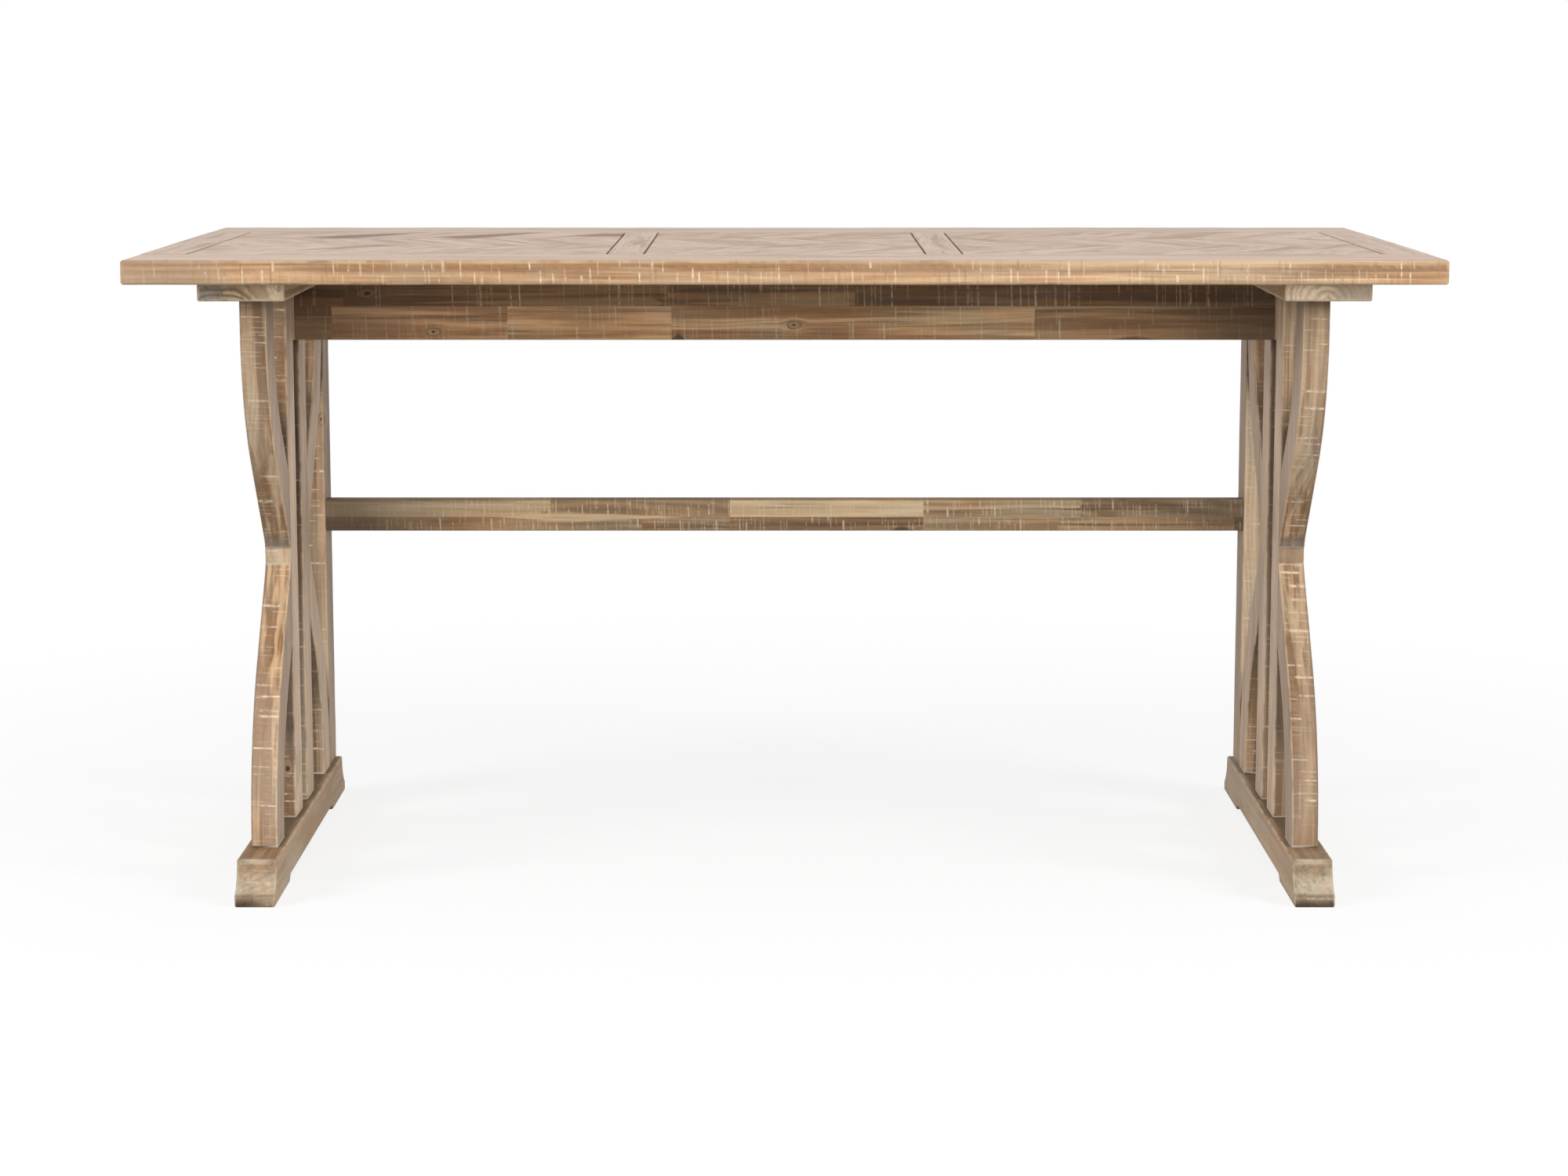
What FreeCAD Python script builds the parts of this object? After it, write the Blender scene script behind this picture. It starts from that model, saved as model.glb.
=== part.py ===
import FreeCAD, Part
import math
import os

# Counter-height trestle table: a framed parquet top on two hourglass trestles, which an apron and a rear
# stretcher join. Millimetres. The origin is on the floor under the middle of the top, +X runs along the top,
# -Y is the front and +Z is up.

# Overall size
TABLE_LENGTH = 1800.0
TABLE_DEPTH = 900.0
TABLE_HEIGHT = 910.0
EDGE_EASE = 1.5

# Top: a frame of full-thickness boards round a core that carries cross boards and parquet
TOP_THICKNESS = 33.0
TOP_EDGE_EASE = 3.0
RAIL_WIDTH = 150.0
END_BOARD_WIDTH = 65.0
CROSS_BOARD_WIDTH = 50.0
CENTRE_PANEL_WIDTH = 391.0
PARQUET_THICKNESS = 10.0
PANEL_GROOVE = 2.4
PLANK_JOINT = 0.3
PLANK_PITCH = 82.0
PLANK_ANGLE = 60.0
PARQUET_ROWS = 3
TONGUE_THICKNESS = 8.0
TONGUE_LENGTH = 10.0
GROOVE_STOP = 20.0

# Trestles, set in from the ends of the top
TRESTLE_OVERHANG = 155.0
LEG_THICKNESS = 38.0
LEG_DEPTH = 68.0
POST_GAP = 60.0
STRETCHER_POST_GAP = 8.0
STRETCHER_POST_INSET = 30.0
WAIST_FLAT = 24.0
UPPER_LEG_RUN = 160.0
UPPER_LEG_HEAD = 47.0
LOWER_LEG_RUN = 147.0
LOWER_LEG_HEAD = 4.0
TIP_RADIUS = 45.0
TIP_ANGLE = 18.0
TIP_THICKNESS = 2.0

# Feet and the cleats that carry the top, set in from its long edges
FOOT_INSET = 50.0
FOOT_WIDTH = 57.0
FOOT_HEIGHT = 62.0
FOOT_EASE = 2.0
NOSE_LENGTH = 30.0
LIP_HEIGHT = 16.0
PAD_LENGTH = 150.0
RELIEF_HEIGHT = 9.0
RELIEF_SLOPE = 12.0
CLEAT_INSET = 50.0
CLEAT_WIDTH = 120.0
CLEAT_THICKNESS = 26.0

# Apron and stretcher, each glued up from two strips
APRON_HEIGHT = 110.0
APRON_THICKNESS = 26.0
APRON_LOWER_STRIP = 50.0
STRETCHER_HEIGHT = 50.0
STRETCHER_THICKNESS = 28.0
STRETCHER_BOTTOM = 439.0
STRETCHER_LOWER_STRIP = 22.0

# Joinery
TENON_THICKNESS = 14.0
TENON_SHOULDER = 12.0
FOOT_TENON = 25.0
CLEAT_TENON = 15.0
RAIL_TENON = 12.0
RAIL_TENON_SHOULDER = 8.0
LOOSE_TENON_THICKNESS = 8.0
LOOSE_TENON_WIDTH = 30.0
LOOSE_TENON_LENGTH = 40.0
LOOSE_TENON_OFFSET = 55.0
JOINT_CLEARANCE = 0.2
END_CLEARANCE = 1.0

# Hardware
BOLT_DIAMETER = 6.0
BOLT_HEAD_DIAMETER = 17.0
BOLT_HEAD_THICKNESS = 2.5
BOLT_GRIP = 8.0
BARREL_DIAMETER = 10.0
BARREL_LENGTH = 18.0
BARREL_SETBACK = 35.0
SCREW_DIAMETER = 5.0
SCREW_HEAD_DIAMETER = 10.0
SCREW_HEAD_HEIGHT = 3.0
SCREW_COVER = 9.0

# Planes of the top
HALF_LENGTH = TABLE_LENGTH / 2
HALF_DEPTH = TABLE_DEPTH / 2
TOP_UNDERSIDE = TABLE_HEIGHT - TOP_THICKNESS
CORE_TOP = TABLE_HEIGHT - PARQUET_THICKNESS
TONGUE_MIDDLE = (TOP_UNDERSIDE + CORE_TOP) / 2
FRAME_LENGTH = HALF_LENGTH - END_BOARD_WIDTH
FRAME_DEPTH = HALF_DEPTH - RAIL_WIDTH
CROSS_BOARD_INNER = CENTRE_PANEL_WIDTH / 2 + PANEL_GROOVE
CROSS_BOARD_OUTER = CROSS_BOARD_INNER + CROSS_BOARD_WIDTH

# Planes of the trestles
TRESTLE_CENTRE = HALF_LENGTH - TRESTLE_OVERHANG
TRESTLE_INNER = TRESTLE_CENTRE - LEG_THICKNESS / 2
TRESTLE_OUTER = TRESTLE_CENTRE + LEG_THICKNESS / 2
FOOT_END = HALF_DEPTH - FOOT_INSET
FOOT_TENON_END = FOOT_HEIGHT - FOOT_TENON
CLEAT_END = HALF_DEPTH - CLEAT_INSET
CLEAT_UNDERSIDE = TOP_UNDERSIDE - CLEAT_THICKNESS
CLEAT_TENON_END = CLEAT_UNDERSIDE + CLEAT_TENON
WAIST_MIDDLE = (FOOT_HEIGHT + CLEAT_UNDERSIDE) / 2
POST_FACE = POST_GAP / 2 + LEG_DEPTH
STRETCHER_POST_FRONT = FOOT_END - STRETCHER_POST_INSET - LEG_DEPTH
LEG_FACE = STRETCHER_POST_FRONT - STRETCHER_POST_GAP
LEG_REACH = LEG_FACE - POST_FACE
LEG_HEIGHT = (CLEAT_UNDERSIDE - FOOT_HEIGHT - WAIST_FLAT) / 2

# Middle of each upright in depth: the pair of posts, the stretcher's own post and the curved legs
POST_MIDDLES = {
    "front_post": -POST_FACE + LEG_DEPTH / 2,
    "back_post": POST_FACE - LEG_DEPTH / 2,
    "stretcher_post": STRETCHER_POST_FRONT + LEG_DEPTH / 2,
}
LEG_MIDDLE = LEG_FACE - LEG_DEPTH / 2
UPRIGHT_MIDDLES = (*POST_MIDDLES.values(), -LEG_MIDDLE, LEG_MIDDLE)
SCREW_OFFSET = (POST_FACE + LEG_FACE - LEG_DEPTH) / 2

# Planes of the apron and the stretcher
APRON_BOTTOM = TOP_UNDERSIDE - APRON_HEIGHT
APRON_GLUE_LINE = APRON_BOTTOM + APRON_LOWER_STRIP
STRETCHER_TOP = STRETCHER_BOTTOM + STRETCHER_HEIGHT
STRETCHER_GLUE_LINE = STRETCHER_BOTTOM + STRETCHER_LOWER_STRIP
STRETCHER_MIDDLE = STRETCHER_POST_FRONT + STRETCHER_THICKNESS / 2
STRETCHER_BACK = STRETCHER_POST_FRONT + STRETCHER_THICKNESS

# Where the rails meet the trestles: middle in depth, bottom and top of each, and its bolt's depth and height
APRON_END = (0, APRON_BOTTOM, CLEAT_UNDERSIDE)
APRON_BOLT = (0, (APRON_BOTTOM + RAIL_TENON_SHOULDER + APRON_GLUE_LINE) / 2)
STRETCHER_END = (STRETCHER_MIDDLE, STRETCHER_BOTTOM, STRETCHER_TOP)
STRETCHER_BOLT = (STRETCHER_MIDDLE, (STRETCHER_GLUE_LINE + STRETCHER_TOP - RAIL_TENON_SHOULDER) / 2)

# The two ways along X and Y
SIDES = {"left": -1, "right": 1}
ENDS = {"front": -1, "back": 1}
SAME_PLACE = 0.001


def block(x_range, y_range, z_range):
    """Box between two limits on each axis, given in either order."""
    low = FreeCAD.Vector(min(x_range), min(y_range), min(z_range))
    size = FreeCAD.Vector(max(x_range), max(y_range), max(z_range)) - low
    return Part.makeBox(size.x, size.y, size.z, low)


def about(middle, width):
    """Limits of a width centred on a middle."""
    return middle - width / 2, middle + width / 2


def rod(diameter, start, end):
    """Cylinder from one point to another."""
    start = FreeCAD.Vector(*start)
    axis = FreeCAD.Vector(*end) - start
    return Part.makeCylinder(diameter / 2, axis.Length, start, axis)


def on_plane(edge, axis, value):
    """Whether both ends of an edge lie on the plane across an axis."""
    return all(abs(getattr(vertex.Point, axis) - value) < SAME_PLACE for vertex in edge.Vertexes)


def along(edge, axis):
    """Whether an edge runs straight along an axis."""
    span = edge.Vertexes[-1].Point - edge.Vertexes[0].Point
    return abs(abs(getattr(span, axis)) - edge.Length) < SAME_PLACE


def outline(points, arcs):
    """Closed wire through points, with the stretch after each index in arcs bent through a middle point."""
    edges = []
    for index, start in enumerate(points):
        end = points[(index + 1) % len(points)]
        if index in arcs:
            edges.append(Part.Arc(start, arcs[index], end).toShape())
        else:
            edges.append(Part.LineSegment(start, end).toShape())
    return Part.Wire(edges)


def save(name, *shapes):
    """Write one piece, or a group of separate like pieces, as a STEP file."""
    shape = shapes[0] if len(shapes) == 1 else Part.makeCompound(shapes)
    shape.exportStep(f"parts/{name}.step")


def tenon(side, y_middle, shoulder, end, clearance=0.0, end_clearance=0.0):
    """Stub on the end of an upright, or the mortise that takes it when clearances are added."""
    x_range = about(side * TRESTLE_CENTRE, TENON_THICKNESS + 2 * clearance)
    y_range = about(y_middle, LEG_DEPTH - 2 * TENON_SHOULDER + 2 * clearance)
    return block(x_range, y_range, (shoulder, end + math.copysign(end_clearance, end - shoulder)))


def mortises(side, shoulder, end):
    """Sockets in a foot or a cleat for all the uprights of one trestle."""
    return [tenon(side, y, shoulder, end, JOINT_CLEARANCE, END_CLEARANCE) for y in UPRIGHT_MIDDLES]


def waist_tenon(side, end, up, clearance=0.0, end_clearance=0.0):
    """Loose tenon between a post and the curved leg against it, above or below the waist, or its socket."""
    x_range = about(side * TRESTLE_CENTRE, LOOSE_TENON_THICKNESS + 2 * clearance)
    y_range = about(end * POST_FACE, LOOSE_TENON_LENGTH + 2 * end_clearance)
    z_middle = WAIST_MIDDLE + up * (WAIST_FLAT / 2 + LOOSE_TENON_OFFSET)
    return block(x_range, y_range, about(z_middle, LOOSE_TENON_WIDTH + 2 * clearance))


def rail_tenon(side, rail_end, clearance=0.0, end_clearance=0.0):
    """Stub on the end of the apron or the stretcher that keeps it from turning on its bolt, or its socket."""
    y_middle, bottom, top = rail_end
    x_range = (side * TRESTLE_INNER, side * (TRESTLE_INNER + RAIL_TENON + end_clearance))
    y_range = about(y_middle, TENON_THICKNESS + 2 * clearance)
    z_range = (bottom + RAIL_TENON_SHOULDER - clearance, top - RAIL_TENON_SHOULDER + clearance)
    return block(x_range, y_range, z_range)


def bolt_shank(side, y, z, clearance=0.0, end_clearance=0.0):
    """Shank of a connector bolt from the trestle's outer face into its barrel nut, or its hole."""
    reach = BARREL_SETBACK - BARREL_DIAMETER / 2 + BOLT_GRIP + end_clearance
    start = (side * TRESTLE_OUTER, y, z)
    return rod(BOLT_DIAMETER + 2 * clearance, start, (side * (TRESTLE_INNER - reach), y, z))


def bolt_hole(side, y, z):
    return bolt_shank(side, y, z, JOINT_CLEARANCE, END_CLEARANCE)


def bolt(side, y, z):
    """Connector bolt with a flat round head on the trestle's outer face."""
    seat = side * TRESTLE_OUTER
    head = rod(BOLT_HEAD_DIAMETER, (seat, y, z), (seat + side * BOLT_HEAD_THICKNESS, y, z))
    return bolt_shank(side, y, z).fuse(head).removeSplitter()


def barrel_nut(side, y, z):
    """Cross dowel with a hole in its side for the bolt."""
    x = side * (TRESTLE_INNER - BARREL_SETBACK)
    y_start, y_end = about(y, BARREL_LENGTH)
    return rod(BARREL_DIAMETER, (x, y_start, z), (x, y_end, z)).cut(bolt_hole(side, y, z))


def barrel_hole(side, y, z, back_face):
    """Bore for a barrel nut, open at the board's back face."""
    x = side * (TRESTLE_INNER - BARREL_SETBACK)
    start = (x, y - BARREL_LENGTH / 2 - JOINT_CLEARANCE, z)
    return rod(BARREL_DIAMETER + 2 * JOINT_CLEARANCE, start, (x, back_face, z))


def screw_places(side):
    """Middles of the screws that hold a cleat to the top, between the posts and the curved legs."""
    return [(side * TRESTLE_CENTRE, end * SCREW_OFFSET) for end in ENDS.values()]


def screw_shank(x, y, clearance=0.0):
    """Shank of a screw driven up through a cleat into the top, or its hole when clearance is added."""
    tip = CORE_TOP - SCREW_COVER + clearance
    return rod(SCREW_DIAMETER + 2 * clearance, (x, y, CLEAT_UNDERSIDE), (x, y, tip))


def screw(x, y):
    """Screw with a round flat head under the cleat."""
    head = rod(SCREW_HEAD_DIAMETER, (x, y, CLEAT_UNDERSIDE - SCREW_HEAD_HEIGHT), (x, y, CLEAT_UNDERSIDE))
    return screw_shank(x, y).fuse(head).removeSplitter()


def screw_holes(*sides):
    return [screw_shank(x, y, JOINT_CLEARANCE) for side in sides for x, y in screw_places(side)]


def rail(end):
    """Long edge board of the top, grooved for the core and the end boards."""
    inner, outer = end * FRAME_DEPTH, end * HALF_DEPTH
    body = block((-HALF_LENGTH, HALF_LENGTH), (inner, outer), (TOP_UNDERSIDE, TABLE_HEIGHT))
    outer_edges = [edge for edge in body.Edges if on_plane(edge, "y", outer) or along(edge, "y")]
    body = body.makeChamfer(TOP_EDGE_EASE, outer_edges)
    groove = block(
        about(0, TABLE_LENGTH - 2 * GROOVE_STOP),
        (inner, inner + end * (TONGUE_LENGTH + END_CLEARANCE)),
        about(TONGUE_MIDDLE, TONGUE_THICKNESS + 2 * JOINT_CLEARANCE),
    )
    return body.cut([groove] + screw_holes(*SIDES.values()))


def end_board(side):
    """Short edge board of the top, with tongues into both rails and a groove for the core."""
    inner, outer = side * FRAME_LENGTH, side * HALF_LENGTH
    body = block((inner, outer), (-FRAME_DEPTH, FRAME_DEPTH), (TOP_UNDERSIDE, TABLE_HEIGHT))
    outer_edges = [edge for edge in body.Edges if on_plane(edge, "x", outer) and along(edge, "y")]
    body = body.makeChamfer(TOP_EDGE_EASE, outer_edges)
    groove_end = side * (FRAME_LENGTH + TONGUE_LENGTH + END_CLEARANCE)
    groove = block(
        (inner, groove_end),
        (-FRAME_DEPTH, FRAME_DEPTH),
        about(TONGUE_MIDDLE, TONGUE_THICKNESS + 2 * JOINT_CLEARANCE),
    )
    tongue = block(
        (groove_end, side * (HALF_LENGTH - GROOVE_STOP - JOINT_CLEARANCE)),
        about(0, 2 * FRAME_DEPTH + 2 * TONGUE_LENGTH),
        about(TONGUE_MIDDLE, TONGUE_THICKNESS),
    )
    return body.fuse(tongue).cut(groove).removeSplitter()


def core_panel():
    """Board under the parquet, tongued into the frame all round."""
    core = block((-FRAME_LENGTH, FRAME_LENGTH), (-FRAME_DEPTH, FRAME_DEPTH), (TOP_UNDERSIDE, CORE_TOP))
    tongue_range = about(TONGUE_MIDDLE, TONGUE_THICKNESS)
    corner = TONGUE_LENGTH + JOINT_CLEARANCE
    short_x, long_x = FRAME_LENGTH - corner, FRAME_LENGTH + TONGUE_LENGTH
    short_y, long_y = FRAME_DEPTH - corner, FRAME_DEPTH + TONGUE_LENGTH
    long_tongues = block((-short_x, short_x), (-long_y, long_y), tongue_range)
    end_tongues = block((-long_x, long_x), (-short_y, short_y), tongue_range)
    return core.fuse([long_tongues, end_tongues]).removeSplitter().cut(screw_holes(*SIDES.values()))


def cross_board(side):
    """Thin board across the top between two parquet panels."""
    x_range = (side * CROSS_BOARD_INNER, side * CROSS_BOARD_OUTER)
    return block(x_range, about(0, 2 * FRAME_DEPTH - 2 * PLANK_JOINT), (CORE_TOP, TABLE_HEIGHT))


def parquet(x_low, x_high):
    """Rows of slanted planks whose slant turns from row to row, trimmed to the panel."""
    panel = block((x_low, x_high), (-FRAME_DEPTH, FRAME_DEPTH), (CORE_TOP, TABLE_HEIGHT))
    row_depth = 2 * FRAME_DEPTH / PARQUET_ROWS
    plank_turn = math.radians(PLANK_ANGLE)
    lean = row_depth / math.tan(plank_turn)
    width = PLANK_PITCH - PLANK_JOINT / math.sin(plank_turn)
    count = math.ceil((x_high - x_low + lean) / PLANK_PITCH)
    start = (x_low + x_high - count * PLANK_PITCH) / 2
    planks = []
    for row in range(PARQUET_ROWS):
        y_low, y_high = about(-FRAME_DEPTH + (row + 0.5) * row_depth, row_depth - PLANK_JOINT)
        shift = lean / 2 if row % 2 == 0 else -lean / 2
        for index in range(count):
            left = start + index * PLANK_PITCH
            right = left + width
            near_corners = [(left - shift, y_low), (right - shift, y_low)]
            far_corners = [(right + shift, y_high), (left + shift, y_high)]
            points = [FreeCAD.Vector(x, y, CORE_TOP) for x, y in near_corners + far_corners]
            plank = Part.Face(outline(points, {})).extrude(FreeCAD.Vector(0, 0, PARQUET_THICKNESS))
            planks.extend(panel.common(plank).Solids)
    return planks


def cleat(side):
    """Flat batten screwed under the top, mortised for the heads of the uprights."""
    x_range = about(side * TRESTLE_CENTRE, CLEAT_WIDTH)
    body = block(x_range, (-CLEAT_END, CLEAT_END), (CLEAT_UNDERSIDE, TOP_UNDERSIDE))
    lower_edges = [edge for edge in body.Edges if on_plane(edge, "z", CLEAT_UNDERSIDE)]
    body = body.makeChamfer(EDGE_EASE, lower_edges)
    return body.cut(mortises(side, CLEAT_UNDERSIDE, CLEAT_TENON_END) + screw_holes(side))


def foot(side):
    """Floor runner with coved noses, a pad at each end and mortises for the uprights.

    Each cove leaves the top of the nose straight down and sweeps out to the lip.
    """
    x_low, x_high = about(side * TRESTLE_CENTRE, FOOT_WIDTH)
    nose_top = FOOT_END - NOSE_LENGTH
    pad_inner = FOOT_END - PAD_LENGTH
    drop = FOOT_HEIGHT - LIP_HEIGHT
    cove_radius = (NOSE_LENGTH ** 2 + drop ** 2) / (2 * NOSE_LENGTH)
    cove_turn = math.atan2(NOSE_LENGTH, drop)
    cove_y = nose_top + cove_radius * (1 - math.cos(cove_turn))
    cove_z = FOOT_HEIGHT - cove_radius * math.sin(cove_turn)
    back_half = [
        (pad_inner - RELIEF_SLOPE, RELIEF_HEIGHT),
        (pad_inner, 0),
        (FOOT_END, 0),
        (FOOT_END, LIP_HEIGHT),
        (nose_top, FOOT_HEIGHT),
    ]
    front_half = [(-y, z) for y, z in reversed(back_half)]
    points = [FreeCAD.Vector(x_low, y, z) for y, z in back_half + front_half]
    back_cove = FreeCAD.Vector(x_low, cove_y, cove_z)
    front_cove = FreeCAD.Vector(x_low, -cove_y, cove_z)
    profile = outline(points, {3: back_cove, 5: front_cove})
    body = Part.Face(profile).extrude(FreeCAD.Vector(FOOT_WIDTH, 0, 0))
    face_edges = [edge for edge in body.Edges if on_plane(edge, "x", x_low) or on_plane(edge, "x", x_high)]
    body = body.makeChamfer(FOOT_EASE, face_edges)
    return body.cut(mortises(side, FOOT_HEIGHT, FOOT_TENON_END))


def post(side, name):
    """Straight upright tenoned into the foot and the cleat."""
    y_middle = POST_MIDDLES[name]
    x_range = (side * TRESTLE_INNER, side * TRESTLE_OUTER)
    body = block(x_range, about(y_middle, LEG_DEPTH), (FOOT_HEIGHT, CLEAT_UNDERSIDE))
    body = body.makeChamfer(EDGE_EASE, [edge for edge in body.Edges if along(edge, "z")])
    lower = tenon(side, y_middle, FOOT_HEIGHT, FOOT_TENON_END)
    upper = tenon(side, y_middle, CLEAT_UNDERSIDE, CLEAT_TENON_END)
    body = body.fuse([lower, upper])
    if name == "stretcher_post":
        socket = rail_tenon(side, STRETCHER_END, JOINT_CLEARANCE, END_CLEARANCE)
        return body.cut([socket, bolt_hole(side, *STRETCHER_BOLT)])
    end = math.copysign(1, y_middle)
    return body.cut([waist_tenon(side, end, up, JOINT_CLEARANCE, END_CLEARANCE) for up in (1, -1)])


def leg_outline(run, head):
    """Half-leg profile as (reach out from the post, height above the tip) points and arc middles.

    From its tip on the post the outer edge flares in a small arc, runs straight and bends back to upright.
    The bend's radius and angle follow from the lengths of the straight run and of the upright head. The inner
    edge lies the leg's depth inside the outer one and runs on into the post, whose face trims it.
    """
    tip_turn = math.radians(TIP_ANGLE)
    tip_y = TIP_THICKNESS + TIP_RADIUS * math.cos(tip_turn)
    tip_z = -TIP_RADIUS * math.sin(tip_turn)
    bend_z = LEG_HEIGHT - head
    across = LEG_REACH - tip_y
    rise = bend_z - tip_z
    radius = (across ** 2 + rise ** 2 - run ** 2 - TIP_RADIUS ** 2) / (2 * (across + TIP_RADIUS))
    turn = math.atan2(across - radius, rise) + math.atan2(radius + TIP_RADIUS, run)
    inner_radius = radius - LEG_DEPTH
    inner_reach = LEG_REACH - LEG_DEPTH

    def tip_arc(angle):
        return tip_y - TIP_RADIUS * math.cos(angle), tip_z + TIP_RADIUS * math.sin(angle)

    def bend_arc(arc_radius, angle):
        return LEG_REACH - radius + arc_radius * math.cos(angle), bend_z - arc_radius * math.sin(angle)

    inner_y, inner_z = bend_arc(inner_radius, turn)
    points = [
        (TIP_THICKNESS, 0),
        tip_arc(turn),
        bend_arc(radius, turn),
        (LEG_REACH, bend_z),
        (LEG_REACH, LEG_HEIGHT),
        (inner_reach, LEG_HEIGHT),
        (inner_reach, bend_z),
        (inner_y, inner_z),
        (inner_y - inner_z * math.tan(turn), 0),
    ]
    arcs = {
        0: tip_arc((tip_turn + turn) / 2),
        2: bend_arc(radius, turn / 2),
        6: bend_arc(inner_radius, turn / 2),
    }
    return points, arcs


def curved_leg(side, end, up):
    """Half of an hourglass leg: upper or lower, in front of or behind the pair of posts."""
    run, head = (UPPER_LEG_RUN, UPPER_LEG_HEAD) if up > 0 else (LOWER_LEG_RUN, LOWER_LEG_HEAD)
    shoulder, tenon_end = (CLEAT_UNDERSIDE, CLEAT_TENON_END) if up > 0 else (FOOT_HEIGHT, FOOT_TENON_END)
    x_low, x_high = about(side * TRESTLE_CENTRE, LEG_THICKNESS)
    tip = WAIST_MIDDLE + up * WAIST_FLAT / 2
    post_face = end * POST_FACE

    def place(point):
        return FreeCAD.Vector(x_low, post_face + end * point[0], tip + up * point[1])

    points, arcs = leg_outline(run, head)
    arc_middles = {index: place(point) for index, point in arcs.items()}
    profile = outline([place(point) for point in points], arc_middles)
    body = Part.Face(profile).extrude(FreeCAD.Vector(LEG_THICKNESS, 0, 0))
    body = body.common(block((x_low, x_high), (post_face, end * LEG_FACE), (tip, shoulder)))
    face_edges = [edge for edge in body.Edges if on_plane(edge, "x", x_low) or on_plane(edge, "x", x_high)]
    joint_planes = (("y", post_face), ("z", tip), ("z", shoulder))
    free_edges = [edge for edge in face_edges if not any(on_plane(edge, *plane) for plane in joint_planes)]
    body = body.makeChamfer(EDGE_EASE, free_edges)
    body = body.fuse(tenon(side, end * LEG_MIDDLE, shoulder, tenon_end)).removeSplitter()
    return body.cut(waist_tenon(side, end, up, JOINT_CLEARANCE, END_CLEARANCE))


def head_block(side):
    """Block glued between the pair of posts under the cleat, which the apron is bolted to."""
    x_range = (side * TRESTLE_INNER, side * TRESTLE_OUTER)
    body = block(x_range, about(0, POST_GAP), (APRON_BOTTOM, CLEAT_UNDERSIDE))
    socket = rail_tenon(side, APRON_END, JOINT_CLEARANCE, END_CLEARANCE)
    return body.cut([socket, bolt_hole(side, *APRON_BOLT)])


def apron_strip(bottom, top):
    """One of the apron's two strips, notched under the cleats, with its share of the tenon at each end."""
    y_range = about(0, APRON_THICKNESS)
    strip = block((-TRESTLE_OUTER, TRESTLE_OUTER), y_range, (bottom, top))
    body = block((-TRESTLE_INNER, TRESTLE_INNER), y_range, (bottom, top))
    lower_edges = [edge for edge in body.Edges if along(edge, "x") and on_plane(edge, "z", APRON_BOTTOM)]
    if lower_edges:
        body = body.makeChamfer(EDGE_EASE, lower_edges)
    for side in SIDES.values():
        notch_start = side * (TRESTLE_CENTRE - CLEAT_WIDTH / 2 - JOINT_CLEARANCE)
        notch = block((notch_start, side * TRESTLE_CENTRE), y_range, (CLEAT_UNDERSIDE, TOP_UNDERSIDE))
        stub = rail_tenon(side, APRON_END).common(strip)
        bores = [bolt_hole(side, *APRON_BOLT), barrel_hole(side, *APRON_BOLT, APRON_THICKNESS / 2)]
        body = body.cut(notch).fuse(stub).cut(bores)
    return body.removeSplitter()


def stretcher_strip(bottom, top):
    """One of the stretcher's two strips, with its share of the tenon and the bores at each end."""
    y_range = (STRETCHER_POST_FRONT, STRETCHER_BACK)
    strip = block((-TRESTLE_OUTER, TRESTLE_OUTER), y_range, (bottom, top))
    body = block((-TRESTLE_INNER, TRESTLE_INNER), y_range, (bottom, top))
    long_edges = [edge for edge in body.Edges if along(edge, "x")]
    free_edges = [edge for edge in long_edges if not on_plane(edge, "z", STRETCHER_GLUE_LINE)]
    body = body.makeChamfer(EDGE_EASE, free_edges)
    for side in SIDES.values():
        stub = rail_tenon(side, STRETCHER_END).common(strip)
        bores = [bolt_hole(side, *STRETCHER_BOLT), barrel_hole(side, *STRETCHER_BOLT, STRETCHER_BACK)]
        body = body.fuse(stub).cut(bores)
    return body.removeSplitter()


os.makedirs("parts", exist_ok=True)

# Top
save("core_panel", core_panel())
for end_name, end in ENDS.items():
    save(f"{end_name}_rail", rail(end))
for side_name, side in SIDES.items():
    save(f"{side_name}_end_board", end_board(side))
    save(f"{side_name}_cross_board", cross_board(side))
side_panel_inner = CROSS_BOARD_OUTER + PANEL_GROOVE
side_panel_outer = FRAME_LENGTH - PANEL_GROOVE
save("left_parquet", *parquet(-side_panel_outer, -side_panel_inner))
save("centre_parquet", *parquet(*about(0, CENTRE_PANEL_WIDTH)))
save("right_parquet", *parquet(side_panel_inner, side_panel_outer))

# Trestles
for side_name, side in SIDES.items():
    save(f"{side_name}_foot", foot(side))
    save(f"{side_name}_cleat", cleat(side))
    save(f"{side_name}_head_block", head_block(side))
    for post_name in POST_MIDDLES:
        save(f"{side_name}_{post_name}", post(side, post_name))
    for end_name, end in ENDS.items():
        save(f"{side_name}_{end_name}_upper_leg", curved_leg(side, end, 1))
        save(f"{side_name}_{end_name}_lower_leg", curved_leg(side, end, -1))

# Apron and stretcher
save("apron_lower_strip", apron_strip(APRON_BOTTOM, APRON_GLUE_LINE))
save("apron_upper_strip", apron_strip(APRON_GLUE_LINE, TOP_UNDERSIDE))
save("stretcher_lower_strip", stretcher_strip(STRETCHER_BOTTOM, STRETCHER_GLUE_LINE))
save("stretcher_upper_strip", stretcher_strip(STRETCHER_GLUE_LINE, STRETCHER_TOP))

# Loose tenons and hardware
waist_joints = [(side, end, up) for side in SIDES.values() for end in ENDS.values() for up in (1, -1)]
save("waist_tenons", *[waist_tenon(*joint) for joint in waist_joints])
save("apron_bolts", *[bolt(side, *APRON_BOLT) for side in SIDES.values()])
save("apron_barrel_nuts", *[barrel_nut(side, *APRON_BOLT) for side in SIDES.values()])
save("stretcher_bolts", *[bolt(side, *STRETCHER_BOLT) for side in SIDES.values()])
save("stretcher_barrel_nuts", *[barrel_nut(side, *STRETCHER_BOLT) for side in SIDES.values()])
save("cleat_screws", *[screw(x, y) for side in SIDES.values() for x, y in screw_places(side)])
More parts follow.
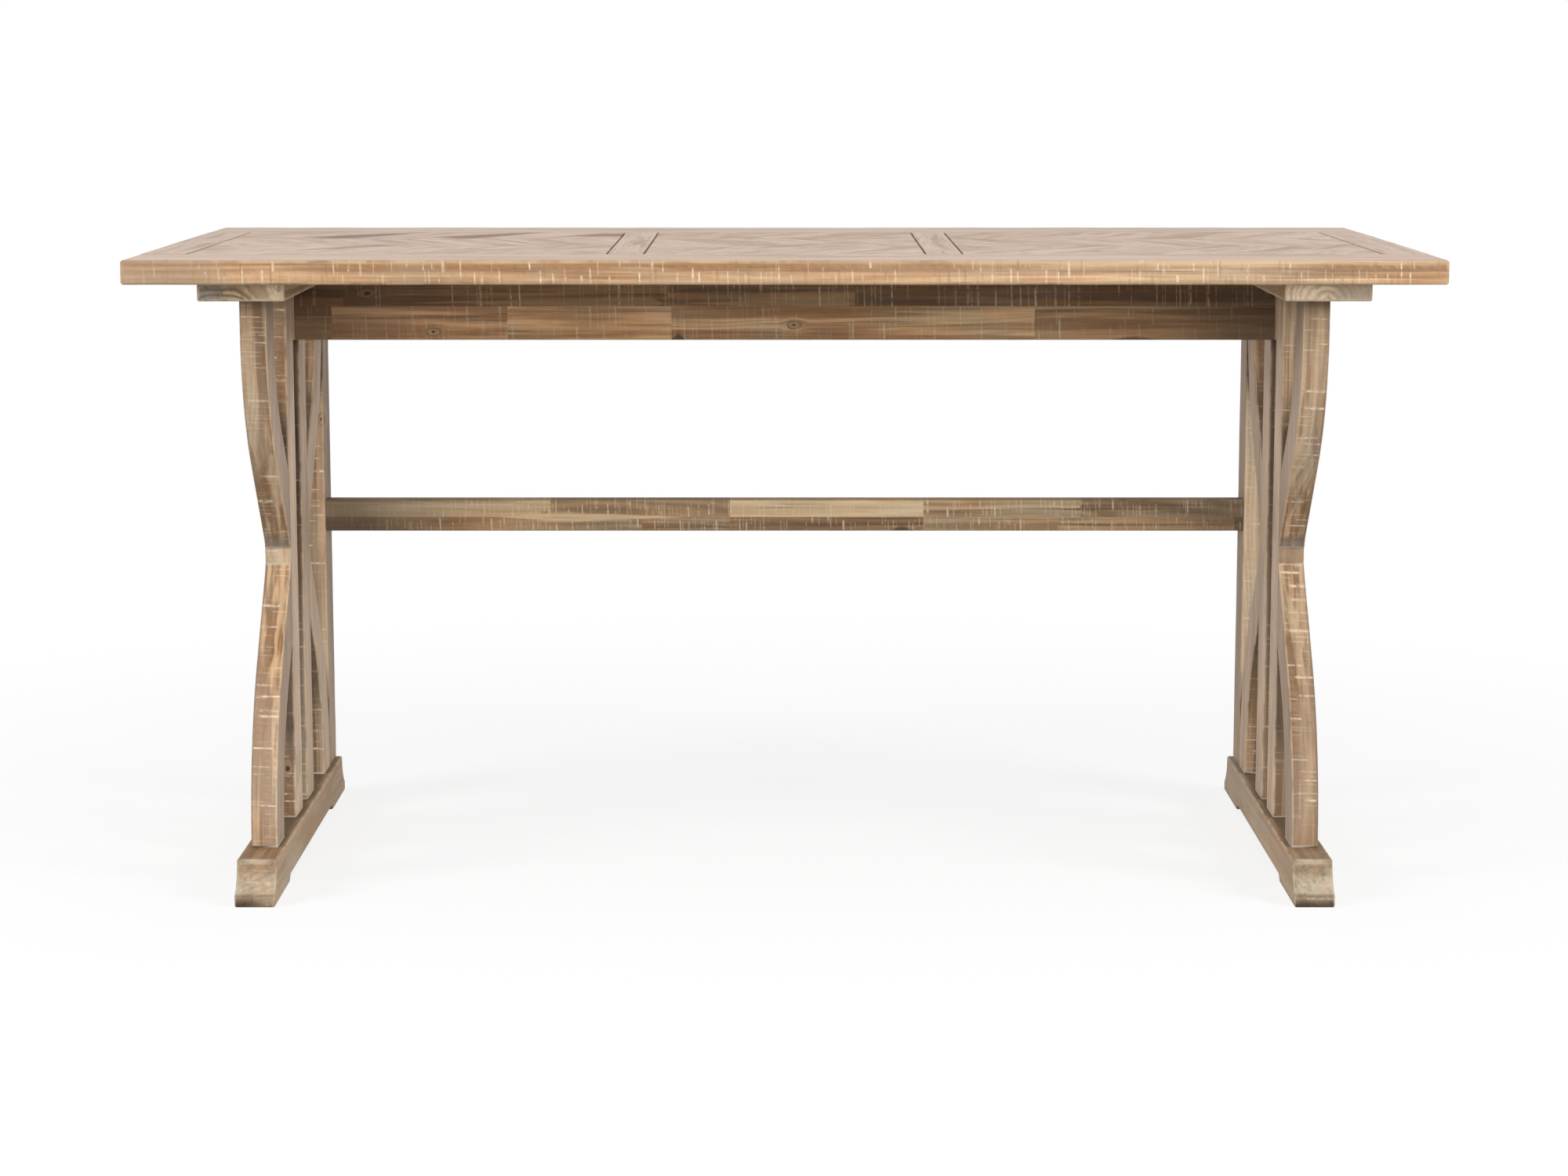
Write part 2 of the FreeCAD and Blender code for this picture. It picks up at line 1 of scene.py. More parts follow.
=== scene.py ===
# A counter-height bar table of limed, saw-marked wood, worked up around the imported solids.
import functools
import math
import random

import bpy
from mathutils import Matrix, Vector


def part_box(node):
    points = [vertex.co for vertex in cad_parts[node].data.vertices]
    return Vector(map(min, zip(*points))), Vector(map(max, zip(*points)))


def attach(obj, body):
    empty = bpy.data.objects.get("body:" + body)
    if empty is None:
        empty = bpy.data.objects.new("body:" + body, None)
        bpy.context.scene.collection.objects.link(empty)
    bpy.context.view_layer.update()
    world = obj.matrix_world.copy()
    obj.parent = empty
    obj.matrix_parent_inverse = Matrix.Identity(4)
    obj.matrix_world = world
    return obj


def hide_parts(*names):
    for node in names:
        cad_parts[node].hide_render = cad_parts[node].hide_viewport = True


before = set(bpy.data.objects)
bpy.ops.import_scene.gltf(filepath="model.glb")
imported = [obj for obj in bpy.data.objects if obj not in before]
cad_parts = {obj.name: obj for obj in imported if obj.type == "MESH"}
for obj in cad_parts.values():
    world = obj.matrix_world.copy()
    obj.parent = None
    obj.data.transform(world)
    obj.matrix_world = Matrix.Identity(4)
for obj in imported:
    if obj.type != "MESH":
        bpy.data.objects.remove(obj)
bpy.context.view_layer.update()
bpy.ops.object.select_all(action="DESELECT")


# Feet
# Each trestle stands on one floor runner with a coved nose and a pad at both ends.
# It is solid limed wood, planed on its sides, saw-marked on the noses and mortised for five uprights.
SIDES = {"left": -1, "right": 1}
NOSE_ROUND = 0.0016
NOSE_LENGTH = 0.03
NEAR = 0.0005
SOFT_ANGLE = math.radians(52)
NO_KNOT = (0.0, 0.0, -9.0)


def take(piece):
    """Selects one piece alone and makes it the active one."""
    bpy.ops.object.select_all(action="DESELECT")
    bpy.context.view_layer.objects.active = piece
    piece.select_set(True)


def clear_choice(piece, kind):
    """Deselects all of a piece's mesh, so that its faces or edges can be chosen in code."""
    take(piece)
    bpy.ops.object.mode_set(mode="EDIT")
    bpy.ops.mesh.select_mode(type=kind)
    bpy.ops.mesh.select_all(action="DESELECT")
    bpy.ops.object.mode_set(mode="OBJECT")


def choose_edges(piece, wanted):
    """Selects the edges of a piece whose two end points pass a test, and opens it for editing."""
    clear_choice(piece, "EDGE")
    points = piece.data.vertices
    for edge in piece.data.edges:
        first, second = edge.vertices
        edge.select = wanted(points[first].co, points[second].co)
    bpy.ops.object.mode_set(mode="EDIT")


def merged_copy(node):
    """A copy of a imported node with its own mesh, its loose triangles merged into whole faces."""
    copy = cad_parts[node].copy()
    copy.data = copy.data.copy()
    copy.name = node + "_wood"
    copy.parent = None
    bpy.context.scene.collection.objects.link(copy)
    take(copy)
    bpy.ops.object.mode_set(mode="EDIT")
    bpy.ops.mesh.select_all(action="SELECT")
    bpy.ops.mesh.remove_doubles(threshold=0.00001)
    bpy.ops.mesh.dissolve_limited(angle_limit=math.radians(0.6))
    bpy.ops.object.mode_set(mode="OBJECT")
    return copy


def store(piece, name, value):
    """Stores one value or one vector on every point of a piece, for its finish to read."""
    is_vector = isinstance(value, Vector)
    layer = piece.data.attributes.new(name, "FLOAT_VECTOR" if is_vector else "FLOAT", "POINT")
    for point in layer.data:
        if is_vector:
            point.vector = value
        else:
            point.value = value


def middle_of(piece):
    """The middle of a piece's box."""
    corners = [Vector(corner) for corner in piece.bound_box]
    return sum(corners, Vector()) / len(corners)


def mark_board(piece, seed, knot=None, knot_scale=1.0):
    """Stores a board's own seed, its middle and the place and size of its knot, for its grain to read."""
    store(piece, "seed", seed)
    store(piece, "middle", middle_of(piece))
    store(piece, "knot", Vector(knot or NO_KNOT))
    store(piece, "knot_scale", knot_scale)


def hand_over(piece, node, finish):
    """Evens the light over a piece's eased edges, and gives it its finish and its place on the table."""
    take(piece)
    bpy.ops.object.shade_smooth_by_angle(angle=SOFT_ANGLE)
    weigh = piece.modifiers.new("even_light", "WEIGHTED_NORMAL")
    weigh.keep_sharp = True
    weigh.weight = 100
    bpy.ops.object.modifier_apply(modifier=weigh.name)
    piece.data.materials.clear()
    piece.data.materials.append(finish)
    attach(piece, "root")
    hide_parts(node)


def put(tree, kind, *values, **settings):
    """Adds one shader node, then sets or links its inputs in their order."""
    made = tree.nodes.new("ShaderNode" + kind)
    for name, value in settings.items():
        setattr(made, name, value)
    for socket, value in zip(made.inputs, values):
        if isinstance(value, bpy.types.NodeSocket):
            tree.links.new(value, socket)
        elif value is not None:
            socket.default_value = value
    return made


def tree_of(*values):
    """The node tree of the first socket among some values."""
    return next(value.id_data for value in values if isinstance(value, bpy.types.NodeSocket))


def sums(operation, *values):
    """One step of arithmetic on values."""
    return put(tree_of(*values), "Math", *values, operation=operation).outputs[0]


# Short words for such steps. The one called scaled multiplies two values and adds a third.
plus = functools.partial(sums, "ADD")
minus = functools.partial(sums, "SUBTRACT")
times = functools.partial(sums, "MULTIPLY")
scaled = functools.partial(sums, "MULTIPLY_ADD")
over = functools.partial(sums, "DIVIDE")
larger = functools.partial(sums, "MAXIMUM")
above = functools.partial(sums, "GREATER_THAN")
size_of = functools.partial(sums, "ABSOLUTE")


def rest(value):
    """What a value leaves of one."""
    return minus(1.0, value)


def apart(first, second):
    """How far two values lie apart."""
    return size_of(minus(first, second))


def between(first, second, part):
    """A value part of the way from one to another."""
    return scaled(part, minus(second, first), first)


def vector_sums(operation, *values):
    """One step of arithmetic on vectors."""
    return put(tree_of(*values), "VectorMath", *values, operation=operation).outputs[0]


def reach_of(vector):
    """The length of a vector."""
    return put(tree_of(vector), "VectorMath", vector, operation="LENGTH").outputs[1]


def split(vector):
    """The three parts of a vector."""
    return put(tree_of(vector), "SeparateXYZ", vector).outputs


def joined(*parts):
    """The vector of three parts."""
    return put(tree_of(*parts), "CombineXYZ", *parts).outputs[0]


def fade(value, low, high, start=0.0, end=1.0):
    """A soft step of a value, from start at low to end at high."""
    tree = tree_of(value)
    return put(tree, "MapRange", value, low, high, start, end, interpolation_type="SMOOTHSTEP").outputs[0]


def tint(amount, first, second, how="MIX"):
    """Mixes two colours."""
    tree = tree_of(amount, first, second)
    mix = put(tree, "Mix", amount, data_type="RGBA", blend_type=how)
    for socket, colour in ((mix.inputs[6], first), (mix.inputs[7], second)):
        if isinstance(colour, bpy.types.NodeSocket):
            tree.links.new(colour, socket)
        else:
            socket.default_value = (*colour, 1.0)
    return mix.outputs[2]


def lots(value):
    """Three random parts that a value draws."""
    return put(tree_of(value), "TexWhiteNoise", None, value, noise_dimensions="1D").outputs[1]


def speckle(place, stretch, detail=2.0, roughness=0.5):
    """Noise over a place whose three axes are stretched, as cells per metre."""
    cells = vector_sums("MULTIPLY", place, stretch)
    return put(tree_of(place), "TexNoise", cells, None, 1.0, detail, roughness).outputs[0]


def start_group(name, inputs, outputs):
    """A shader node group with named sockets, and its open ends."""
    group = bpy.data.node_groups.new(name, "ShaderNodeTree")
    for label, kind in inputs.items():
        socket = group.interface.new_socket(label, in_out="INPUT", socket_type="NodeSocket" + kind)
        if kind == "Float":
            socket.default_value = 1.0
    for label, kind in outputs.items():
        group.interface.new_socket(label, in_out="OUTPUT", socket_type="NodeSocket" + kind)
    return group, group.nodes.new("NodeGroupInput").outputs, group.nodes.new("NodeGroupOutput").inputs


def place_group(group, **values):
    """Places a node group beside the sockets that it is given, and sets or links its named inputs."""
    tree = tree_of(*values.values())
    made = tree.nodes.new("ShaderNodeGroup")
    made.node_tree = group
    for name, value in values.items():
        socket = made.inputs[name]
        if isinstance(value, bpy.types.NodeSocket):
            tree.links.new(value, socket)
        elif socket.type == "RGBA":
            socket.default_value = (*value, 1.0)
        else:
            socket.default_value = value
    return made.outputs


# The grain of one sawn board: growth rings round a pith that each seed puts elsewhere,
# so that long faces show bands and swoops and cut ends show arcs of the same rings.
board_grain, ends, results = start_group(
    "board_grain",
    {"Place": "Vector", "Seed": "Float"},
    {"Rings": "Float", "Bands": "Float", "Blotches": "Float", "Fibre": "Float", "Streaks": "Float"},
)
RING_WIDTH = 0.0075
PITH_SPREAD = (0.0, 0.13, 0.16)
tree = board_grain
luck = lots(ends["Seed"])
centred = vector_sums("SUBTRACT", luck, (0.5, 0.5, 0.5))
pith = vector_sums("MULTIPLY", centred, PITH_SPREAD)
own = vector_sums("ADD", ends["Place"], vector_sums("MULTIPLY", luck, (9.0, 7.0, 5.0)))
wander = speckle(own, (2.0, 9.0, 9.0))
flat = vector_sums("MULTIPLY", vector_sums("SUBTRACT", ends["Place"], pith), (0.0, 1.0, 1.0))
reach = reach_of(flat)
reach = scaled(wander, 0.055, reach)
uneven = put(tree, "TexNoise", None, reach, 45.0, 1.0, 0.5, noise_dimensions="1D").outputs[0]
phase = scaled(uneven, 2.2, over(reach, RING_WIDTH))
ring = fade(sums("PINGPONG", phase, 0.5), 0.08, 0.46)
zone = fade(speckle(own, (2.4, 18.0, 18.0), 1.0), 0.38, 0.62, 0.2, 1.0)
tree.links.new(times(ring, zone), results["Rings"])
tree.links.new(speckle(own, (1.6, 58.0, 58.0), 2.5, 0.66), results["Bands"])
tree.links.new(speckle(own, (4.0, 17.0, 17.0), 3.0, 0.6), results["Blotches"])
tree.links.new(speckle(own, (22.0, 520.0, 520.0), 2.0, 0.6), results["Fibre"])
tree.links.new(fade(speckle(own, (2.6, 110.0, 110.0)), 0.58, 0.7), results["Streaks"])


# The chalky lines that a coarse saw left across the grain: cells along the board, each with
# or without one line, its own place, thickness and reach, and more of them in some stretches.
saw_kerfs, ends, results = start_group(
    "saw_kerfs",
    dict.fromkeys(("Along", "Across", "Half", "Spacing", "Width", "Coverage", "Edge", "Seed"), "Float"),
    {"Mark": "Float"},
)
tree = saw_kerfs
tilted = scaled(ends["Across"], 0.03, ends["Along"])
cells = scaled(ends["Seed"], 17.3, over(tilted, ends["Spacing"]))
cell = sums("FLOOR", cells)
own_cell = scaled(ends["Seed"], 31.7, cell)
luck = split(lots(own_cell))
more_luck = split(lots(plus(own_cell, 0.37)))
spot = scaled(luck[0], 0.7, 0.15)
gap = apart(sums("FRACT", cells), spot)
gap = times(gap, ends["Spacing"])
thick = times(ends["Width"], scaled(luck[1], 0.8, 0.5))
line = rest(over(gap, thick))
line = fade(line, 0.0, 0.85)
stretch = scaled(ends["Seed"], 5.3, ends["Along"])
crowd = put(tree, "TexNoise", None, stretch, 11.0, 2.0, 0.5, noise_dimensions="1D").outputs[0]
chance = times(ends["Coverage"], fade(crowd, 0.36, 0.62, 0.25, 1.7))
shown = sums("LESS_THAN", luck[2], chance)
loose = scaled(more_luck[0], 1.2, -0.6)
side = scaled(above(more_luck[0], 0.6), 2.0, -1.0)
centre = between(loose, side, ends["Edge"])
centre = times(centre, ends["Half"])
length = times(ends["Half"], scaled(more_luck[1], 0.95, 0.45))
away = apart(ends["Across"], centre)
inside = fade(over(away, length), 1.05, 0.7)
grit_place = joined(ends["Along"], ends["Across"], ends["Seed"])
grit = fade(speckle(grit_place, (170.0, 150.0, 3.0)), 0.32, 0.58, 0.15, 1.0)
strength = scaled(more_luck[2], 0.65, 0.35)
mark = times(times(line, shown), times(inside, grit))
tree.links.new(times(mark, strength), results["Mark"])


def saw_lines(along, across, seed, half, spacing, width, coverage, edge):
    """The saw lines on a face: its two ways, half its breadth, and how close, wide and many they are."""
    return place_group(
        saw_kerfs, Along=along, Across=across, Half=half, Spacing=spacing,
        Width=width, Coverage=coverage, Edge=edge, Seed=seed,
    )["Mark"]


# The finish that all the table's wood shares: stained grain, a lime wash that lies in patches,
# one knot, chalk in the saw marks and bare wood along the worn edges.
limed_board, ends, results = start_group(
    "limed_board",
    {
        **dict.fromkeys(("Place", "Knot"), "Vector"),
        **dict.fromkeys(("Light", "Brown", "Dark", "Lime", "Bare"), "Color"),
        **dict.fromkeys(("Seed", "KnotScale", "Rings", "Haze", "Stain", "Grit", "Marks", "Arris"), "Float"),
    },
    {"Colour": "Color", "Roughness": "Float", "Height": "Float"},
)
KNOT_SIZE = (1 / 0.017, 1 / 0.009, 1 / 0.009)
KNOT_BODY = (0.4, 0.26, 0.15)
KNOT_LINE = (0.1, 0.055, 0.03)
KNOT_HEART = (0.03, 0.018, 0.012)
CHALK = (0.82, 0.69, 0.51)
COOL_STAIN = (0.95, 1.0, 1.03)
WARM_STAIN = (1.1, 0.95, 0.83)
tree = limed_board
offset = vector_sums("SUBTRACT", ends["Place"], ends["Knot"])
flat = vector_sums("MULTIPLY", offset, KNOT_SIZE)
reach = reach_of(flat)
reach = over(reach, ends["KnotScale"])
ragged = speckle(ends["Place"], (90.0, 160.0, 160.0))
reach = scaled(minus(ragged, 0.5), 0.7, reach)
knot_core = fade(reach, 0.42, 0.14)
knot_body = fade(reach, 1.05, 0.85, 0.0, 0.8)
knot_line = fade(apart(reach, 0.92), 0.22, 0.04, 0.0, 0.55)
knot_ring = fade(reach, 2.6, 0.7)
squeeze = scaled(knot_ring, -0.85, 1.0)
squeezed = joined(1.0, squeeze, squeeze)
bent = vector_sums("ADD", ends["Knot"], vector_sums("MULTIPLY", offset, squeezed))
grain = place_group(board_grain, Place=bent, Seed=ends["Seed"])
colour = tint(fade(grain["Bands"], 0.42, 0.58), ends["Light"], ends["Brown"])
warmth = tint(fade(grain["Blotches"], 0.35, 0.62), COOL_STAIN, WARM_STAIN)
colour = tint(ends["Stain"], colour, warmth, "MULTIPLY")
blotch = fade(grain["Blotches"], 0.5, 0.74, 0.0, 0.45)
colour = tint(blotch, colour, ends["Dark"])
ring_depth = times(grain["Rings"], ends["Rings"])
colour = tint(ring_depth, colour, ends["Dark"])
colour = tint(times(grain["Streaks"], 0.6), colour, ends["Dark"])
fibre = scaled(fade(grain["Fibre"], 0.25, 0.75, -0.12, 0.1), ends["Grit"], 1.0)
fibre_colour = joined(fibre, fibre, fibre)
colour = tint(1.0, colour, fibre_colour, "MULTIPLY")
patch = fade(speckle(ends["Place"], (4.0, 17.0, 17.0), 3.0), 0.42, 0.7)
wash = times(patch, times(ends["Haze"], fibre))
colour = tint(wash, colour, ends["Lime"])
colour = tint(times(knot_ring, 0.3), colour, ends["Brown"])
colour = tint(knot_body, colour, tint(0.5, ends["Brown"], KNOT_BODY))
colour = tint(knot_line, colour, KNOT_LINE)
colour = tint(knot_core, colour, KNOT_HEART)
colour = tint(ends["Marks"], colour, CHALK)
rubbed = fade(speckle(ends["Place"], (38.0, 60.0, 60.0), 3.0), 0.3, 0.6, 0.15, 0.85)
colour = tint(times(ends["Arris"], rubbed), colour, ends["Bare"])
tree.links.new(colour, results["Colour"])
gloss = scaled(grain["Rings"], -0.08, 0.7)
tree.links.new(scaled(ends["Marks"], 0.12, gloss), results["Roughness"])
height = scaled(grain["Rings"], 0.25, times(grain["Fibre"], 0.5))
height = scaled(ends["Marks"], -0.6, height)
tree.links.new(scaled(knot_core, -0.8, height), results["Height"])


def new_material(name):
    """A new material, its node tree and its shader."""
    finish = bpy.data.materials.new(name)
    finish.use_nodes = True
    return finish, finish.node_tree, finish.node_tree.nodes["Principled BSDF"]


def stored(tree, name, output="Fac"):
    """What a piece has stored under a name."""
    return put(tree, "Attribute", attribute_name=name).outputs[output]


def start_finish(name):
    """A new wood material, with what every board's grain reads from its place and its stored values."""
    finish, tree, shader = new_material(name)
    shader.inputs["Specular IOR Level"].default_value = 0.35
    read = {"object": put(tree, "TexCoord").outputs["Object"]}
    normal = put(tree, "NewGeometry").outputs["True Normal"]
    read["facing"] = split(normal)
    read["normal"] = split(vector_sums("ABSOLUTE", normal))
    for label in ("seed", "knot_scale", "arris"):
        read[label] = stored(tree, label)
    read["middle"] = stored(tree, "middle", "Vector")
    read["local"] = split(vector_sums("SUBTRACT", read["object"], read["middle"]))
    knot = stored(tree, "knot", "Vector")
    read["local_knot"] = split(vector_sums("SUBTRACT", knot, read["middle"]))
    return finish, tree, shader, read


def along_grain(parts, order):
    """A place with its axes in another order, the one along the grain first."""
    return joined(*(parts[axis] for axis in order))


def board_wood(read, order, **looks):
    """The shared finish on a whole board, whose grain runs along the first axis of an order."""
    place = along_grain(read["local"], order)
    knot = along_grain(read["local_knot"], order)
    return place_group(limed_board, Place=place, Seed=read["seed"], Knot=knot, **looks)


def raise_relief(shader, height, strength, depth):
    """Lets a height show as relief."""
    tree = shader.id_data
    bump = put(tree, "Bump", strength, depth)
    tree.links.new(height, bump.inputs["Height"])
    tree.links.new(bump.outputs[0], shader.inputs["Normal"])


def paint(shader, colour):
    """Leads a colour into a shader."""
    shader.id_data.links.new(colour, shader.inputs["Base Color"])


def show_wood(shader, wood):
    """Leads a wood finish into its shader."""
    paint(shader, wood["Colour"])
    shader.id_data.links.new(wood["Roughness"], shader.inputs["Roughness"])
    raise_relief(shader, wood["Height"], 0.6, 0.0007)


# Lighter and browner wood of each part of a foot. The lower cove's colours are painted light where the cove
# turns up, and the lip's are painted shade.
FOOT_TOP_WOOD = ((0.36, 0.245, 0.14), (0.22, 0.14, 0.075))
FOOT_CHEEK_WOOD = ((0.48, 0.345, 0.22), (0.36, 0.245, 0.15))
NOSE_WOOD = ((0.37, 0.27, 0.165), (0.25, 0.17, 0.1))
COVE_WOOD = ((0.53, 0.45, 0.335), (0.42, 0.345, 0.245))
LIP_WOOD = ((0.36, 0.275, 0.185), (0.24, 0.175, 0.115))
CREASE_SHADE = (0.1, 0.065, 0.04)
NOSE_SHADE = (0.1, 0.065, 0.035)
BETWEEN_POSTS_SHADE = (0.065, 0.04, 0.018)

foot_wood, tree, shader, read = start_finish("foot_wood")
x, y, _ = read["local"]
height = split(read["object"])[2]
cheek = fade(read["normal"][0], 0.6, 0.9)
nose = fade(size_of(y), 0.3655, 0.369)
nose_front = times(nose, rest(cheek))
lip = times(nose_front, fade(height, 0.0168, 0.0152))
# Painted shade: a thin dark band along the crease between the lip and the cove.
crease_gap = apart(height, 0.0166)
crease_shade = times(nose_front, fade(crease_gap, 0.0022, 0.0004, 0.0, 0.5))
# A painted highlight along the rounded top edge of each nose. It is mixed in with the worn edges as bare
# wood.
nose_highlight = times(nose_front, fade(height, 0.052, 0.0575, 0.0, 0.75))
near_side = fade(size_of(x), 0.0248, 0.0272)
near_side = times(near_side, rest(cheek))
near_top = times(fade(height, 0.0575, 0.0602), cheek)
worn = larger(nose_highlight, larger(near_side, near_top))
nose_marks = saw_lines(
    height, x, read["seed"], half=0.026, spacing=0.011, width=0.0016, coverage=0.35, edge=0.0
)
top_marks = saw_lines(y, x, read["seed"], half=0.026, spacing=0.017, width=0.0018, coverage=0.3, edge=0.3)
marks = times(nose_marks, times(nose_front, 0.4))
flat_part = rest(larger(cheek, nose_front))
marks = scaled(top_marks, times(flat_part, 0.45), marks)
# The lower cove is painted lighter and the lip darker, as painted light and shade.
cove = fade(height, 0.047, 0.034)
light, brown = (
    tint(nose_front, tint(cheek, top, side), tint(lip, tint(cove, nose_top, hollow), lip_wood))
    for top, side, nose_top, hollow, lip_wood in zip(
        FOOT_TOP_WOOD, FOOT_CHEEK_WOOD, NOSE_WOOD, COVE_WOOD, LIP_WOOD
    )
)
dark = tint(cheek, (0.15, 0.095, 0.06), (0.24, 0.175, 0.12))
wood = board_wood(
    read, (1, 0, 2), Light=light, Brown=brown, Dark=dark, Lime=(0.54, 0.455, 0.35),
    Bare=(0.62, 0.5, 0.36), Rings=0.25, Haze=0.4, Marks=marks, Arris=worn,
)
show_wood(shader, wood)
colour = tint(crease_shade, wood["Colour"], CREASE_SHADE)
colour = tint(times(larger(nose_front, cheek), 0.1), colour, NOSE_SHADE)
# Painted shade on the middle of each foot's top, where it runs between the posts.
between_posts_shade = times(fade(size_of(x), 0.026, 0.016), flat_part)
between_posts_shade = times(between_posts_shade, fade(size_of(y), 0.33, 0.25, 0.0, 0.8))
paint(shader, tint(between_posts_shade, colour, BETWEEN_POSTS_SHADE))

for side, sign in SIDES.items():
    node = side + "_foot"
    foot = merged_copy(node)
    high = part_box(node)[1]
    nose_start = high.y - NOSE_LENGTH
    choose_edges(
        foot,
        lambda a, b: abs(a.x - b.x) > 0.04
        and all(p.z > high.z - NEAR and abs(abs(p.y) - nose_start) < NEAR for p in (a, b)),
    )
    bpy.ops.mesh.bevel(offset=NOSE_ROUND, segments=2, affect="EDGES")
    bpy.ops.object.mode_set(mode="OBJECT")
    mark_board(foot, 2.3 + sign)
    hand_over(foot, node, foot_wood)


# Posts and head blocks
# Two straight posts stand close together in the middle of each trestle, with a block between
# their heads that the apron is bolted to, and a third post at the back carries the stretcher.
POST_EASE = 0.0015
ARRIS_BAND = 0.003
WAVE_WIDTH = 0.06
WAVE_HEIGHT = 0.0006
SIDE_SEED = 0.37
WAIST = 0.4565
# Bands of colour round the waist: height, half the breadth, depth and shade. The two thin light lines,
# where the leg tips end, are painted highlights on their edges.
WAIST_BANDS = (
    (WAIST, 0.016, 0.5, (0.56, 0.45, 0.31)),
    (0.477, 0.013, 0.75, (0.15, 0.128, 0.103)),
    (0.4685, 0.0022, 0.6, (0.62, 0.55, 0.44)),
    (0.4445, 0.0022, 0.6, (0.62, 0.55, 0.44)),
)


def choose_faces(piece, wanted):
    """Selects the faces of a piece that pass a test, and opens it for editing."""
    clear_choice(piece, "FACE")
    for face in piece.data.polygons:
        face.select = wanted(face)
    bpy.ops.object.mode_set(mode="EDIT")


def is_slanted(face):
    """True for the narrow faces that ease the edges of a square board."""
    return max(abs(part) for part in face.normal) < 0.95


def mark_arrises(piece, eased, spreads):
    """Stores 1 for worn on the eased edges of a piece, and beside them where the wear spreads."""
    mesh = piece.data
    worn_points = set()
    for face in mesh.polygons:
        if eased(face):
            worn_points.update(face.vertices)
    marks = mesh.attributes.new("arris", "FLOAT", "CORNER").data
    for face in mesh.polygons:
        for corner in face.loop_indices:
            worn = mesh.loops[corner].vertex_index in worn_points
            marks[corner].value = float(worn and (spreads or eased(face)))


def store_by_height(piece, name, at_foot, at_head):
    """Stores a value on every point of an upright that changes evenly from its foot to its head."""
    heights = [point.co.z for point in piece.data.vertices]
    low = min(heights)
    span = max(heights) - low
    layer = piece.data.attributes.new(name, "FLOAT", "POINT")
    for point, height in zip(layer.data, heights):
        point.value = at_foot + (at_head - at_foot) * (height - low) / span


def sawn_board(node, low, high, ease, cuts):
    """A square board with eased edges and a surface that is not quite flat, as a saw leaves it."""
    size = high - low
    longest = max(range(3), key=lambda axis: size[axis])
    bpy.ops.object.select_all(action="DESELECT")
    bpy.ops.mesh.primitive_cube_add(size=1.0)
    board = bpy.context.object
    board.name = node + "_wood"
    board.location = (low + high) / 2
    board.scale = size
    bpy.ops.object.transform_apply(location=True, rotation=False, scale=True)
    choose_faces(board, lambda face: True)
    bpy.ops.mesh.bevel(offset=ease, segments=1, affect="EDGES")
    bpy.ops.object.mode_set(mode="OBJECT")
    choose_faces(board, lambda face: not is_slanted(face))
    bpy.ops.mesh.inset(thickness=ARRIS_BAND, use_individual=True)
    bpy.ops.object.mode_set(mode="OBJECT")
    mark_arrises(board, is_slanted, True)
    choose_edges(board, lambda a, b: abs(a[longest] - b[longest]) > 0.8 * size[longest])
    bpy.ops.mesh.subdivide(number_cuts=cuts)
    bpy.ops.object.mode_set(mode="OBJECT")
    uneven = bpy.data.textures.new(node + "_waves", "CLOUDS")
    uneven.noise_scale = WAVE_WIDTH
    waves = board.modifiers.new("waves", "DISPLACE")
    waves.texture = uneven
    waves.strength = WAVE_HEIGHT
    bpy.ops.object.modifier_apply(modifier=waves.name)
    return board


# Lighter and browner wood of each part of an upright, and the tints laid over it. The upper cheeks' colours
# and the pale colours are painted light; the sheltered colours and the cheek, outer edge and head tints are
# painted shade.
FACE_WOOD = ((0.66, 0.475, 0.295), (0.27, 0.152, 0.077))
LOWER_CHEEK_WOOD = ((0.66, 0.49, 0.35), (0.5, 0.365, 0.255))
UPPER_CHEEK_PAINTED_LIGHT = ((0.92, 0.715, 0.535), (0.8, 0.605, 0.445))
PAINTED_LIGHT_WOOD = ((0.95, 0.78, 0.56), (0.85, 0.67, 0.46))
PAINTED_SHADE_WOOD = ((0.045, 0.026, 0.013), (0.02, 0.011, 0.005))
DIM_SHADE = (0.14, 0.095, 0.065)
RIGHT_STAIN = (0.16, 0.1, 0.055)
OUTER_EDGE_SHADE = (0.11, 0.07, 0.042)
RIGHT_WAIST = (0.2, 0.12, 0.06)
BASE_LIME = (0.5, 0.46, 0.4)
HEAD_SHADE = (0.12, 0.085, 0.06)

upright_wood, tree, shader, read = start_finish("upright_wood")
x, y, z = read["local"]
object_x, _, object_z = split(read["object"])
knot_x, knot_y, knot_z = read["local_knot"]
cheek = fade(read["normal"][0], 0.5, 0.9)
face_marks = saw_lines(
    object_z, x, read["seed"], half=0.019, spacing=0.017, width=0.0023, coverage=0.66, edge=0.3
)
comb_marks = saw_lines(
    object_z, x, plus(read["seed"], 0.71), half=0.019, spacing=0.0056, width=0.0013, coverage=0.4, edge=0.4
)
slant = scaled(y, -0.7, object_z)
cheek_marks = saw_lines(
    slant, y, plus(read["seed"], 0.33), half=0.03, spacing=0.055, width=0.0022, coverage=0.45, edge=0.2
)
comb_marks = times(comb_marks, 0.5)
face_marks = larger(times(face_marks, 1.15), comb_marks)
cheek_marks = times(cheek_marks, 0.4)
facing = rest(cheek)
marks = scaled(face_marks, facing, times(cheek_marks, cheek))
side_of = split(read["middle"])[1]
outward = times(sums("SIGN", side_of), read["facing"][1])
